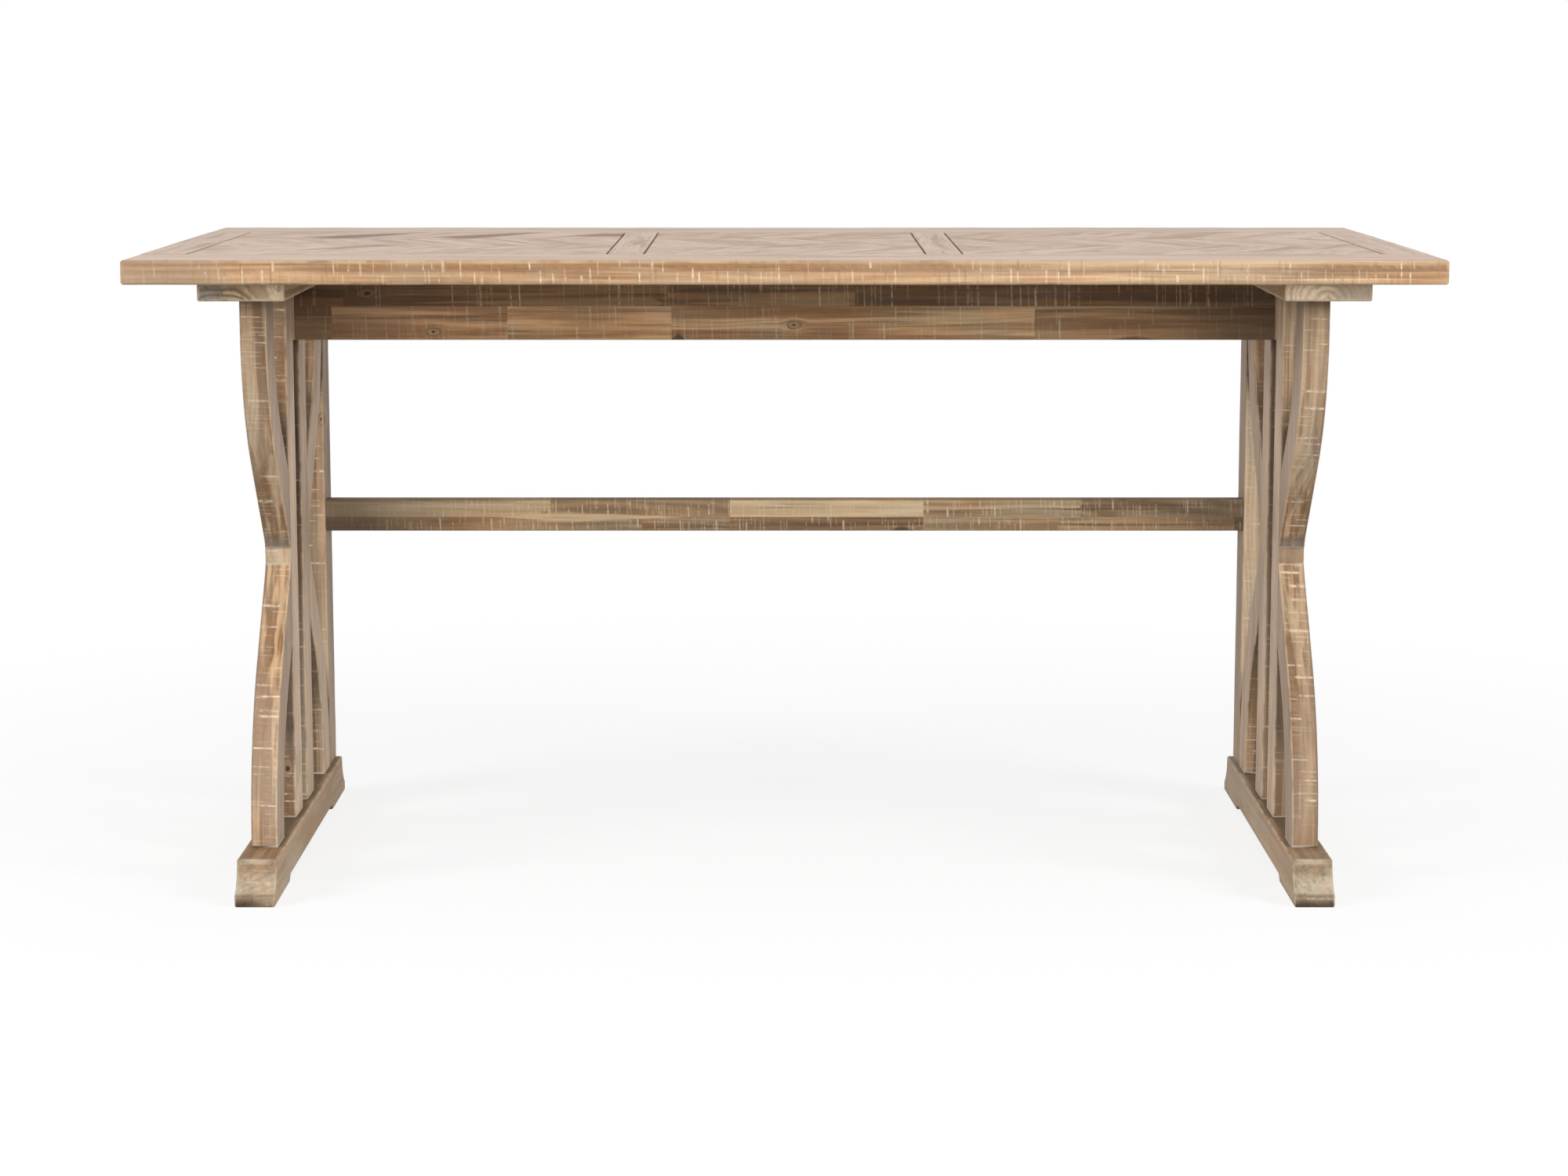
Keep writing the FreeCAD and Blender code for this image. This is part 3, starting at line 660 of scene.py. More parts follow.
# Painted shade on the front and back faces of the uprights. It is heavier on faces that look into the
# trestle, and as heavy as each piece stores, changing with height and near the waist. The outermost faces
# keep none, and the shade also dims the lime wash, the saw marks and the worn edges.
shelter = stored(tree, "shelter")
waist_shelter = stored(tree, "waist_shelter")
waist_gap = apart(object_z, WAIST)
above_waist = fade(object_z, WAIST - 0.02, WAIST + 0.02, 1.0, 1.28)
near_waist = fade(times(waist_gap, above_waist), 0.34, 0.21)
shelter = scaled(near_waist, waist_shelter, shelter)
open_waist = fade(waist_gap, 0.03, 0.013)
shelter = minus(shelter, times(open_waist, fade(waist_shelter, 0.0, 0.9)))
outermost = fade(times(side_of, read["facing"][1]), 0.3, 0.33, 1.0, 0.0)
shelter = times(shelter, outermost)
painted_shade_depth = plus(fade(outward, -0.2, -0.7, 0.0, 0.4), shelter)
painted_shade_depth = put(tree, "Clamp", times(painted_shade_depth, facing)).outputs[0]
# Painted light: the cheeks turn lighter towards their heads, making up for the shade that the top casts.
upper_half = fade(object_z, 0.42, 0.66)
# Painted light: the front and back faces of the stretcher posts turn pale, as far as each stores.
pale = times(stored(tree, "pale"), facing)
light, brown = (
    tint(painted_shade_depth, tint(pale, tint(cheek, face, tint(upper_half, lower, upper)), paler), shaded_tone)
    for face, lower, upper, paler, shaded_tone in zip(
        FACE_WOOD, LOWER_CHEEK_WOOD, UPPER_CHEEK_PAINTED_LIGHT, PAINTED_LIGHT_WOOD, PAINTED_SHADE_WOOD
    )
)
dark = tint(cheek, (0.15, 0.083, 0.042), (0.3, 0.225, 0.175))
lime = tint(painted_shade_depth, (0.55, 0.46, 0.36), (0.16, 0.12, 0.08))
marks = times(marks, scaled(painted_shade_depth, -0.85, 1.0))
inner = times(sums("SIGN", object_x), times(x, -1.0))
# A painted highlight along the inner edge of each front and back face, joined to the worn eased edges.
# Highlight and wear both fade on the outer edge and in the painted shade.
arris = larger(read["arris"], times(fade(inner, 0.0158, 0.0178), facing))
arris = times(arris, scaled(painted_shade_depth, -0.7, 1.0))
arris = times(arris, fade(inner, -0.0165, -0.0145, 0.15, 1.0))
wood = place_group(
    limed_board, Place=joined(z, inner, times(y, 0.2)), Knot=joined(knot_z, knot_x, times(knot_y, 0.2)),
    Seed=read["seed"], KnotScale=read["knot_scale"], Light=light, Brown=brown, Dark=dark, Lime=lime,
    Bare=(0.72, 0.55, 0.37), Rings=0.3, Haze=times(facing, 0.3), Stain=facing, Marks=marks, Arris=arris,
)
show_wood(shader, wood)
ragged_edge = fade(speckle(read["object"], (120.0, 120.0, 120.0)), 0.3, 0.6, 0.4, 1.0)
# Painted shade: a ragged dark line along the outer edge of each front and back face.
outer_edge_shade = fade(inner, -0.0155, -0.018, 0.0, 0.75)
outer_edge_shade = times(outer_edge_shade, times(facing, ragged_edge))
base_line = fade(object_z, 0.0655, 0.0642, 0.0, 0.75)
head_shade = fade(object_z, 0.815, 0.848, 0.0, 0.6)
# Painted shade on the cheeks, as much as each piece stores.
dim = stored(tree, "dim")
colour = tint(times(dim, cheek), wood["Colour"], DIM_SHADE)
on_right = times(above(object_x, 0.0), facing)
right_stain = times(on_right, scaled(pale, -0.16, 0.16))
colour = tint(right_stain, colour, RIGHT_STAIN)
colour = tint(outer_edge_shade, colour, OUTER_EDGE_SHADE)
open_side = times(fade(outward, 0.5, 0.8), fade(waist_shelter, -0.2, 0.0))
for height, half, depth, shade in WAIST_BANDS:
    gap = apart(object_z, height)
    band = times(fade(gap, half, 0.5 * half, 0.0, depth), open_side)
    colour = tint(times(band, ragged_edge), colour, shade)
right_waist = times(on_right, fade(waist_gap, 0.0125, 0.0105, 0.0, 0.6))
colour = tint(times(right_waist, open_side), colour, RIGHT_WAIST)
colour = tint(base_line, colour, BASE_LIME)
paint(shader, tint(head_shade, colour, HEAD_SHADE))

FOOT_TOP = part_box("left_foot")[1].z
CLEAT_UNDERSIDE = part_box("left_cleat")[0].z
for side, sign in SIDES.items():
    # Each post: its place, seed, painted shade at foot and head, painted shade near the waist, painted
    # cheek shade, knot and knot size.
    for place, seed, shelter, waist_shelter, dim, knot, knot_scale in (
        ("front_post", 4.1, (0.45, 0.0), 0.9, 0.0, (-0.7376, -0.098, 0.137), 1.0),
        ("back_post", 5.7, (0.15, 0.9), 0.0, 0.05, None, 1.0),
        ("stretcher_post", 6.9, (0.8, 0.95), -0.95, 0.4, (-0.73, 0.302, 0.616), 0.6),
    ):
        node = side + "_" + place
        low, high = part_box(node)
        low.z = FOOT_TOP
        high.z = CLEAT_UNDERSIDE
        post = sawn_board(node, low, high, POST_EASE, cuts=60)
        mark_board(post, seed + SIDE_SEED * sign, knot if side == "left" else None, knot_scale)
        store_by_height(post, "shelter", *shelter)
        store(post, "waist_shelter", waist_shelter)
        store(post, "dim", dim)
        # How much painted light the stretcher post's front and back faces get.
        if place == "stretcher_post":
            store(post, "pale", 0.32 if side == "left" else 0.9)
        hand_over(post, node, upright_wood)
    node = side + "_head_block"
    low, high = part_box(node)
    block = sawn_board(node, low, high, POST_EASE, cuts=6)
    mark_board(block, 8.3 + SIDE_SEED * sign)
    # Painted shade on the head block, even over its height.
    store_by_height(block, "shelter", 0.6, 0.6)
    hand_over(block, node, upright_wood)


# Curved legs
# Four legs in each trestle swing from the foot and from the cleat towards the posts and meet
# them at a narrow waist. They are sawn to their curve from solid wood, with the edges eased.


def is_eased(face):
    """True for the narrow slanted faces that ease the long edges of a curved leg."""
    return 0.3 < abs(face.normal.x) < 0.9


for side, sign in SIDES.items():
    # Each leg: its place, seed, painted cheek shade, and painted shade at foot and head on the left and on
    # the right trestle.
    for place, seed, dim, left_painted_shade, right_painted_shade in (
        ("front_upper_leg", 1.2, 0.5, (0.05, 0.3), (0.0, 0.1)),
        ("front_lower_leg", 3.4, 0.5, (0.08, 0.14), (0.34, 0.1)),
        ("back_upper_leg", 7.5, 0.1, (0.0, 0.12), (0.0, 0.12)),
        ("back_lower_leg", 9.6, 0.1, (0.0, 0.12), (0.0, 0.12)),
    ):
        node = side + "_" + place
        leg = merged_copy(node)
        mark_arrises(leg, is_eased, False)
        mark_board(leg, seed + SIDE_SEED * sign)
        store_by_height(leg, "shelter", *(left_painted_shade if side == "left" else right_painted_shade))
        store(leg, "waist_shelter", 0.35 if place.startswith("back") else 0.0)
        store(leg, "dim", dim)
        hand_over(leg, node, upright_wood)


# Cleats
# A flat batten lies on the heads of each trestle's uprights and is screwed up into the top.
# Its ends show the growth rings, limed like the rest.
CLEAT_EASE = 0.002
# Lighter and browner wood of a cleat's long edges and of its ends: plain, pale and weathered grey.
CLEAT_EDGE_WOOD = ((0.52, 0.375, 0.235), (0.36, 0.235, 0.135))
PLAIN_END_WOOD = ((0.55, 0.42, 0.265), (0.45, 0.325, 0.19))
PALE_END_WOOD = ((0.9, 0.79, 0.62), (0.8, 0.69, 0.53))
GREY_END_WOOD = ((0.31, 0.29, 0.27), (0.23, 0.213, 0.198))

cleat_wood, tree, shader, read = start_finish("cleat_wood")
x, y, z = read["local"]
end = fade(read["normal"][1], 0.6, 0.9)
edge_marks = saw_lines(y, z, read["seed"], half=0.013, spacing=0.016, width=0.0014, coverage=0.5, edge=0.5)
marks = times(edge_marks, scaled(end, -0.7, 0.7))
on_right = above(split(read["middle"])[0], 0.0)
weathered = scaled(speckle(read["object"], (30.0, 30.0, 60.0)), 0.03, x)
grey_left = fade(weathered, -0.002, -0.018, 0.0, 0.85)
grey_right = fade(weathered, 0.026, 0.036, 0.0, 0.45)
grey = between(grey_left, grey_right, on_right)
pale_left = fade(weathered, 0.05, 0.062)
pale_right = fade(weathered, 0.06, -0.01, 0.4, 1.0)
pale = between(pale_left, pale_right, on_right)
light, brown = (
    tint(end, edge, tint(grey, tint(pale, plain, paler), greyed))
    for edge, plain, paler, greyed in zip(CLEAT_EDGE_WOOD, PLAIN_END_WOOD, PALE_END_WOOD, GREY_END_WOOD)
)
dark = tint(times(on_right, end), (0.15, 0.1, 0.065), (0.36, 0.3, 0.23))
ring_amount = scaled(end, scaled(on_right, -0.1, 0.5), 0.4)
wood = board_wood(
    read, (1, 0, 2), Light=light, Brown=brown, Dark=dark, Lime=(0.6, 0.52, 0.41),
    Bare=(0.64, 0.5, 0.34), Rings=ring_amount, Haze=0.3, Marks=marks, Arris=read["arris"],
)
show_wood(shader, wood)

for side, sign in SIDES.items():
    node = side + "_cleat"
    low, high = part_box(node)
    cleat = sawn_board(node, low, high, CLEAT_EASE, cuts=60)
    mark_board(cleat, 11.2 + SIDE_SEED * sign)
    hand_over(cleat, node, cleat_wood)


# Apron and stretcher
# A deep rail under the top and a slim one between the back posts join the two trestles. Each is
# glued up from two strips of short blocks, joined end to end, and bolted to the trestles.
STRIP_REACH = 0.74
DARKEST_BLOCK = ((0.21, 0.115, 0.05), (0.08, 0.041, 0.017))
END_SHADE = (0.042, 0.023, 0.009)


def strip_finish(name, blocks, streaks, half, lines, light, brown, dark_ends, knots=(), knot_scale=1.0):
    """The wood of one glued-up strip: a tone and a grain for each block along it, knots, streaks and
    painted shade at its ends.
    """
    finish, tree, shader, read = start_finish(name)
    x, _, z = read["local"]
    object_z = split(read["object"])[2]
    long_way = put(tree, "MapRange", x, -STRIP_REACH, STRIP_REACH, 0.0, 1.0).outputs[0]
    tones = put(tree, "ValToRGB", long_way)
    tones.color_ramp.interpolation = "CONSTANT"
    stops = tones.color_ramp.elements
    while len(stops) < len(blocks):
        stops.new(0.5)
    for stop, (start, tone) in zip(stops, blocks):
        stop.position = (start + STRIP_REACH) / (2 * STRIP_REACH)
        stop.color = (tone, tone, tone, 1.0)
    tone = plus(tones.outputs[0], 0.0)
    seed = scaled(tone, 37.7, read["seed"])
    coverage, strength, edge = lines
    strong = saw_lines(x, z, seed, half=half, spacing=0.021, width=0.0021, coverage=coverage, edge=edge)
    comb = saw_lines(
        x, z, plus(seed, 0.71), half=half, spacing=0.0066, width=0.0015, coverage=0.7 * coverage, edge=edge
    )
    strong = times(strong, strength)
    marks = larger(strong, times(comb, 0.6 * strength))
    knot = put(tree, "CombineXYZ", *NO_KNOT).outputs[0]
    for start, place in knots:
        past = above(x, start)
        knot = put(tree, "Mix", past, None, None, None, knot, place, data_type="VECTOR").outputs[1]
    knot_parts = split(vector_sums("SUBTRACT", knot, read["middle"]))
    wood = place_group(
        limed_board, Place=along_grain(read["local"], (0, 2, 1)), Seed=seed,
        Knot=along_grain(knot_parts, (0, 2, 1)), KnotScale=knot_scale,
        Light=tint(tone, DARKEST_BLOCK[0], light), Brown=tint(tone, DARKEST_BLOCK[1], brown),
        Dark=(0.09, 0.05, 0.025), Lime=(0.48, 0.37, 0.25), Bare=(0.52, 0.37, 0.22),
        Rings=scaled(tone, -0.45, 0.6), Haze=0.15, Marks=marks, Arris=read["arris"],
    )
    show_wood(shader, wood)
    colour = wood["Colour"]
    wavering = plus(object_z, scaled(speckle(read["object"], (14.0, 60.0, 60.0), 3.0), 0.008, -0.004))
    threads = fade(speckle(read["object"], (16.0, 400.0, 400.0), 3.0), 0.25, 0.6, 0.55, 1.0)
    unmarked = scaled(marks, -0.8, 1.0)
    for first, widest, last, middle, thick, amount, shade in streaks:
        taper = times(fade(x, first, widest), fade(x, last, widest))
        gap = over(apart(wavering, middle), scaled(taper, thick, 0.00001))
        inside = times(fade(gap, 1.1, 0.35, 0.0, amount), fade(taper, 0.0, 0.1))
        inside = times(inside, threads)
        colour = tint(times(inside, unmarked), colour, shade)
    # Painted shade that deepens towards the strip's ends, where they run into the trestles.
    for start, end, depth in dark_ends:
        colour = tint(fade(x, start, end, 0.0, depth), colour, END_SHADE)
    paint(shader, colour)
    return finish


def lay_strip(node, seed, **looks):
    """Makes one strip with a finish of its own."""
    finish = strip_finish(node.replace("_strip", "_wood"), **looks)
    strip = merged_copy(node)
    mark_arrises(strip, is_slanted, False)
    mark_board(strip, seed)
    hand_over(strip, node, finish)


# A block: where it starts and how light it is. A knot: from where on it counts, and its place.
# A streak: where it starts, is widest and ends, its height, half its breadth, its depth and colour.
# Lines: how many saw lines, how strong and how near the edges. A painted end shade: from, to and how deep.
SAP = (0.84, 0.62, 0.38)
STAIN = (0.035, 0.024, 0.016)
lay_strip(
    "apron_upper_strip",
    13.1,
    blocks=((-0.74, 0.06), (-0.655, 0.2), (-0.178, 0.24), (0.102, 0.02)),
    knots=((-0.74, (-0.618, -0.013, 0.836)),),
    knot_scale=0.9,
    streaks=(
        (-0.6, -0.2, -0.176, 0.822, 0.012, 0.45, (0.4, 0.27, 0.14)),
        (-0.178, 0.08, 0.101, 0.821, 0.013, 0.55, (0.4, 0.26, 0.13)),
        (-0.176, -0.1, 0.1, 0.84, 0.007, 0.5, (0.07, 0.035, 0.015)),
    ),
    half=0.03,
    lines=(0.55, 0.6, 0.5),
    light=(0.68, 0.44, 0.22),
    brown=(0.4, 0.23, 0.105),
    dark_ends=((-0.48, -0.7, 0.4), (0.4, 0.7, 0.35)),
)
lay_strip(
    "apron_lower_strip",
    14.7,
    blocks=((-0.74, 0.32), (-0.673, 0.7), (-0.411, 0.73), (-0.169, 0.66), (0.37, 0.42)),
    knots=((-0.74, (-0.52, -0.013, 0.779)), (-0.2, (0.014, -0.013, 0.789))),
    knot_scale=0.65,
    streaks=(
        (0.13, 0.3, 1.5, 0.8155, 0.0032, 0.6, (0.5, 0.36, 0.2)),
        (-0.168, -0.158, -0.146, 0.767, 0.012, 0.8, STAIN),
        (0.47, 0.52, 0.56, 0.767, 0.008, 0.8, STAIN),
        # This broad dark streak darkens the right end towards the trestle, as painted shade.
        (0.6, 1.2, 1.8, 0.79, 0.05, 0.5, (0.06, 0.032, 0.015)),
    ),
    half=0.025,
    lines=(0.75, 0.45, 0.6),
    light=(0.9, 0.61, 0.34),
    brown=(0.5, 0.29, 0.14),
    dark_ends=((-0.48, -0.7, 0.45), (0.4, 0.7, 0.75)),
)
lay_strip(
    "stretcher_upper_strip",
    15.9,
    blocks=((-0.74, 0.8), (-0.375, 0.36), (-0.088, 0.98), (0.217, 0.64), (0.468, 0.34)),
    knots=((-0.74, (-0.38, 0.302, 0.4685)),),
    knot_scale=0.3,
    streaks=(
        (-0.72, -0.5, -0.376, 0.4865, 0.005, 0.5, (0.3, 0.19, 0.1)),
        (-0.468, -0.36, -0.13, 0.461, 0.0085, 0.9, SAP),
        (0.4, 0.49, 0.75, 0.474, 0.003, 0.6, (0.16, 0.085, 0.04)),
        # This broad dark streak darkens the right end towards the trestle, as painted shade.
        (0.55, 0.9, 1.2, 0.47, 0.03, 0.5, (0.1, 0.055, 0.026)),
    ),
    half=0.014,
    lines=(0.95, 1.05, 0.15),
    light=(0.92, 0.72, 0.46),
    brown=(0.74, 0.55, 0.33),
    dark_ends=((-0.48, -0.7, 0.82), (0.48, 0.7, 0.54)),
)
lay_strip(
    "stretcher_lower_strip",
    17.3,
    blocks=((-0.74, 0.5), (-0.23, 0.52), (-0.088, 0.36), (0.217, 0.62), (0.432, 0.66), (0.707, 0.08)),
    streaks=(
        (-0.468, -0.36, -0.13, 0.461, 0.0085, 0.9, SAP),
        (0.16, 0.185, 0.21, 0.439, 0.01, 0.85, STAIN),
    ),
    half=0.011,
    lines=(0.85, 0.9, 0.3),
    light=(0.8, 0.57, 0.34),
    brown=(0.54, 0.36, 0.2),
    dark_ends=((-0.46, -0.69, 0.88), (0.46, 0.69, 0.65)),
)


# Joinery and hardware
# Loose tenons of plain hardwood hold the leg tips to the posts, and zinc-plated bolts, barrel
# nuts and screws hold the rails and the top. Only the bolt and screw heads are ever seen.


def dress(node, finish):
    """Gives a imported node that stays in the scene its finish."""
    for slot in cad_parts[node].material_slots:
        slot.material = finish


tenon_wood, tree, shader = new_material("tenon_wood")
wood = place_group(
    limed_board, Place=put(tree, "TexCoord").outputs["Object"], Seed=3.0, Knot=NO_KNOT,
    Light=(0.62, 0.47, 0.31), Brown=(0.52, 0.38, 0.24), Dark=(0.36, 0.25, 0.15), Lime=(0.6, 0.5, 0.38),
    Bare=(0.65, 0.5, 0.34), Rings=0.3, Haze=0.0, Stain=0.5, Marks=0.0, Arris=0.0,
)
show_wood(shader, wood)

zinc_steel, tree, shader = new_material("zinc_steel")
shader.inputs["Metallic"].default_value = 1.0
place = put(tree, "TexCoord").outputs["Object"]
spangle = speckle(place, (260.0, 260.0, 260.0))
scratch = speckle(place, (900.0, 70.0, 900.0))
plate = tint(fade(spangle, 0.35, 0.65), (0.42, 0.42, 0.43), (0.6, 0.6, 0.61))
paint(shader, plate)
tree.links.new(fade(scratch, 0.3, 0.7, 0.28, 0.48), shader.inputs["Roughness"])
raise_relief(shader, scratch, 0.3, 0.0002)

dress("waist_tenons", tenon_wood)
dress("cleat_screws", zinc_steel)
for rail in ("apron", "stretcher"):
    dress(rail + "_bolts", zinc_steel)
    dress(rail + "_barrel_nuts", zinc_steel)


# Core panel
# The parquet is glued to one wide panel, tongued into the frame of the top. Only its underside
# shows: plain jointed boards, left sawn and lightly stained.
CORE_BOARD = 0.103

core_wood, tree, shader = new_material("core_wood")
x, y, z = split(put(tree, "TexCoord").outputs["Object"])
board_of = sums("FLOOR", over(y, CORE_BOARD))
across = minus(y, times(plus(board_of, 0.5), CORE_BOARD))
seed = scaled(board_of, 1.37, 21.0)
marks = saw_lines(x, across, seed, half=0.05, spacing=0.024, width=0.0014, coverage=0.35, edge=0.2)
wood = place_group(
    limed_board, Place=joined(x, across, z), Seed=seed, Knot=NO_KNOT, Light=(0.44, 0.31, 0.19),
    Brown=(0.33, 0.22, 0.13), Dark=(0.22, 0.14, 0.08), Lime=(0.5, 0.41, 0.3), Bare=(0.5, 0.38, 0.25),
    Rings=0.35, Haze=0.25, Marks=times(marks, 0.4), Arris=0.0,
)
show_wood(shader, wood)
dress("core_panel", core_wood)


# Edge boards of the top
# Two long rails and two end boards frame the top at its full thickness, tongued together.
# Their upper faces are washed pale, and their edges stay honey brown with chalky saw ticks.
RAIL_EASE = 0.0025
END_BOARD_EASE = 0.0012
HALF_THICKNESS = 0.0165
HEART = (0.3, 0.22, 0.165)
PALE_HEART = (0.36, 0.27, 0.2)
LINE_HEART = (0.34, 0.26, 0.2)
BROWN_SMEAR = (0.4, 0.275, 0.19)
PALE_SMEAR = (0.76, 0.64, 0.55)
DARK_THREAD = (0.35, 0.24, 0.165)
LEFT_EDGE_LIGHT = (0.55, 0.37, 0.215)
RIGHT_EDGE_LIGHT = (0.7, 0.475, 0.285)
EDGE_WOOD = {"Brown": (0.3, 0.175, 0.088), "Dark": (0.165, 0.09, 0.042), "Lime": (0.6, 0.455, 0.3)}
WASHED_WOOD = {
    "Light": (0.66, 0.52, 0.43),
    "Brown": (0.59, 0.455, 0.37),
    "Dark": (0.48, 0.36, 0.285),
    "Lime": (0.64, 0.53, 0.455),
    "Bare": (0.64, 0.5, 0.405),
}


# Dark heartwood that runs along a board, as one soft stroke that tapers from its start to its end.
heart_stroke, ends, results = start_group(
    "heart_stroke",
    {"Place": "Vector", "Start": "Vector", "End": "Vector", "Wide": "Float", "Thin": "Float"},
    {"Mask": "Float"},
)
tree = heart_stroke
run = vector_sums("SUBTRACT", ends["End"], ends["Start"])
here = vector_sums("SUBTRACT", ends["Place"], ends["Start"])
square = put(tree, "VectorMath", run, run, operation="DOT_PRODUCT").outputs[1]
part = over(put(tree, "VectorMath", here, run, operation="DOT_PRODUCT").outputs[1], square)
part = put(tree, "Clamp", part).outputs[0]
nearest = vector_sums("MULTIPLY", run, joined(part, part, part))
off = put(tree, "VectorMath", here, nearest, operation="DISTANCE").outputs[1]
frayed = speckle(ends["Place"], (60.0, 60.0, 10.0), 3.0)
off = scaled(minus(frayed, 0.5), 0.02, off)
breadth = between(ends["Wide"], ends["Thin"], part)
fading = fade(part, 1.0, 0.55, 0.45, 1.0)
stroke = fade(over(off, breadth), 1.0, 0.1)
tree.links.new(times(stroke, fading), results["Mask"])


def draw_strokes(shader, read, colour, strokes):
    """Lays heartwood strokes over a finish: where each starts and ends, how wide, how deep, its colour."""
    across, deep, _ = split(read["object"])
    place = joined(across, deep, 0.0)
    for start, end, wide, thin, depth, shade in strokes:
        stroke = place_group(
            heart_stroke, Place=place, Start=(*start, 0.0), End=(*end, 0.0), Wide=wide, Thin=thin
        )["Mask"]
        colour = tint(times(stroke, depth), colour, shade)
    paint(shader, colour)


def smear(place, stretch, seed, amount, colour):
    """Breaks up a washed face with soft brown and pale smears along its grain."""
    longer = vector_sums("MULTIPLY", place, (stretch, 1.0, 1.0))
    own = vector_sums("ADD", longer, joined(seed, seed, 0.0))
    brown_smear = fade(speckle(own, (11.0, 34.0, 34.0), 3.0, 0.6), 0.5, 0.7, 0.0, 0.75)
    pale_smear = fade(speckle(own, (8.0, 46.0, 46.0), 3.0, 0.6), 0.42, 0.25, 0.0, 0.6)
    thread = fade(speckle(own, (16.0, 130.0, 130.0), 2.0, 0.6), 0.57, 0.7, 0.0, 0.55)
    colour = tint(times(brown_smear, amount), colour, BROWN_SMEAR)
    colour = tint(times(pale_smear, amount), colour, PALE_SMEAR)
    return tint(times(thread, amount), colour, DARK_THREAD)


def edge_board_finish(name, order, worn_edge, strokes):
    """The wood of the frame boards: a pale washed upper face and honey edges with saw ticks."""
    finish, tree, shader, read = start_finish(name)
    local = read["local"]
    along = local[order[0]]
    upper = fade(read["facing"][2], 0.78, 0.95)
    edge_lines = functools.partial(saw_lines, along, local[2], half=HALF_THICKNESS)
    ticks = edge_lines(read["seed"], spacing=0.0165, width=0.0022, coverage=0.7, edge=0.75)
    comb = edge_lines(plus(read["seed"], 0.71), spacing=0.0065, width=0.0014, coverage=0.3, edge=0.8)
    dark_comb = edge_lines(plus(read["seed"], 0.19), spacing=0.0072, width=0.0026, coverage=0.4, edge=0.5)
    ticks = larger(times(ticks, 0.95), times(comb, 0.42))
    side = rest(upper)
    edge_light = tint(fade(along, -0.1, 0.5), LEFT_EDGE_LIGHT, RIGHT_EDGE_LIGHT)
    edge_wood = {"Light": edge_light, "Bare": worn_edge, **EDGE_WOOD}
    looks = {look: tint(upper, edge_wood[look], paler) for look, paler in WASHED_WOOD.items()}
    wood = board_wood(
        read, order, Rings=0.3, Haze=0.35, Stain=side, Grit=scaled(side, 0.6, 0.4),
        Marks=times(ticks, side), Arris=read["arris"], **looks,
    )
    show_wood(shader, wood)
    colour = tint(times(dark_comb, times(side, 0.35)), wood["Colour"], looks["Dark"])
    colour = smear(along_grain(local, order), 0.25, read["seed"], upper, colour)
    draw_strokes(shader, read, colour, strokes)
    return finish


rail_wood = edge_board_finish(
    "rail_wood",
    order=(0, 1, 2),
    worn_edge=(0.52, 0.36, 0.205),
    strokes=(
        ((-0.75, 0.3), (-0.63, 0.36), 0.03, 0.015, 0.35, (0.32, 0.24, 0.18)),
        ((0.5, -0.33), (0.62, -0.37), 0.02, 0.012, 0.25, PALE_HEART),
        ((-0.9, -0.45), (-0.76, -0.45), 0.016, 0.008, 0.5, (0.3, 0.2, 0.125)),
        ((0.0, -0.45), (0.15, -0.45), 0.01, 0.008, 0.2, (0.36, 0.2, 0.1)),
        ((0.0, 0.45), (0.9, 0.45), 0.02, 0.02, 0.4, HEART),
        ((0.0, 0.45), (-0.9, 0.45), 0.02, 0.02, 0.4, HEART),
    ),
)
end_board_wood = edge_board_finish(
    "end_board_wood",
    order=(1, 0, 2),
    worn_edge=(0.27, 0.2, 0.145),
    strokes=(
        ((-0.848, -0.02), (-0.852, -0.24), 0.016, 0.01, 0.6, HEART),
        ((-0.868, 0.12), (-0.872, 0.26), 0.018, 0.01, 0.35, PALE_HEART),
        ((-0.222, 0.2), (-0.214, -0.05), 0.008, 0.012, 0.4, (0.36, 0.26, 0.19)),
        ((0.224, 0.09), (0.236, 0.27), 0.009, 0.006, 0.6, LINE_HEART),
        ((0.2225, -0.03), (0.224, 0.09), 0.009, 0.009, 0.6, LINE_HEART),
        ((0.2225, -0.05), (0.235, -0.2), 0.009, 0.009, 0.6, (0.36, 0.25, 0.17)),
        ((0.856, 0.05), (0.862, -0.2), 0.012, 0.01, 0.3, PALE_HEART),
    ),
)
RAIL_INNER_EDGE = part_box("back_rail")[0].y

for node, seed in (("front_rail", 21.4), ("back_rail", 22.9)):
    low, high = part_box(node)
    rail = sawn_board(node, low, high, RAIL_EASE, cuts=120)
    mark_board(rail, seed)
    hand_over(rail, node, rail_wood)
for side, sign in SIDES.items():
    node = side + "_end_board"
    low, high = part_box(node)
    low.y = -RAIL_INNER_EDGE
    high.y = RAIL_INNER_EDGE
    board = sawn_board(node, low, high, END_BOARD_EASE, cuts=50)
    mark_board(board, 24.2 + SIDE_SEED * sign)
    hand_over(board, node, end_board_wood)


# Cross boards
# Two narrow boards run across the top between the parquet panels, with an open groove on both
# sides. They are glued to the core and washed pale like the parquet.
CROSS_BOARD_EASE = 0.0008

for side, sign in SIDES.items():
    node = side + "_cross_board"
    low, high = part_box(node)
    board = sawn_board(node, low, high, CROSS_BOARD_EASE, cuts=50)
    mark_board(board, 26.6 + SIDE_SEED * sign)
    hand_over(board, node, end_board_wood)


# Parquet
# Three panels of slanted planks fill the top, in three rows whose slant turns from row to row.
# The planks are of mixed boards, eased a little, glued down tight and washed pale.
PLANK_EASE = 0.0004
PLANK_TURN = math.radians(60)
ROW_EDGE = 0.1
PALE_PLANK = {"Light": (0.665, 0.525, 0.435), "Brown": (0.56, 0.43, 0.345), "Dark": (0.44, 0.33, 0.26)}
BROWN_PLANK = {"Light": (0.52, 0.385, 0.285), "Brown": (0.38, 0.26, 0.175), "Dark": (0.26, 0.17, 0.105)}

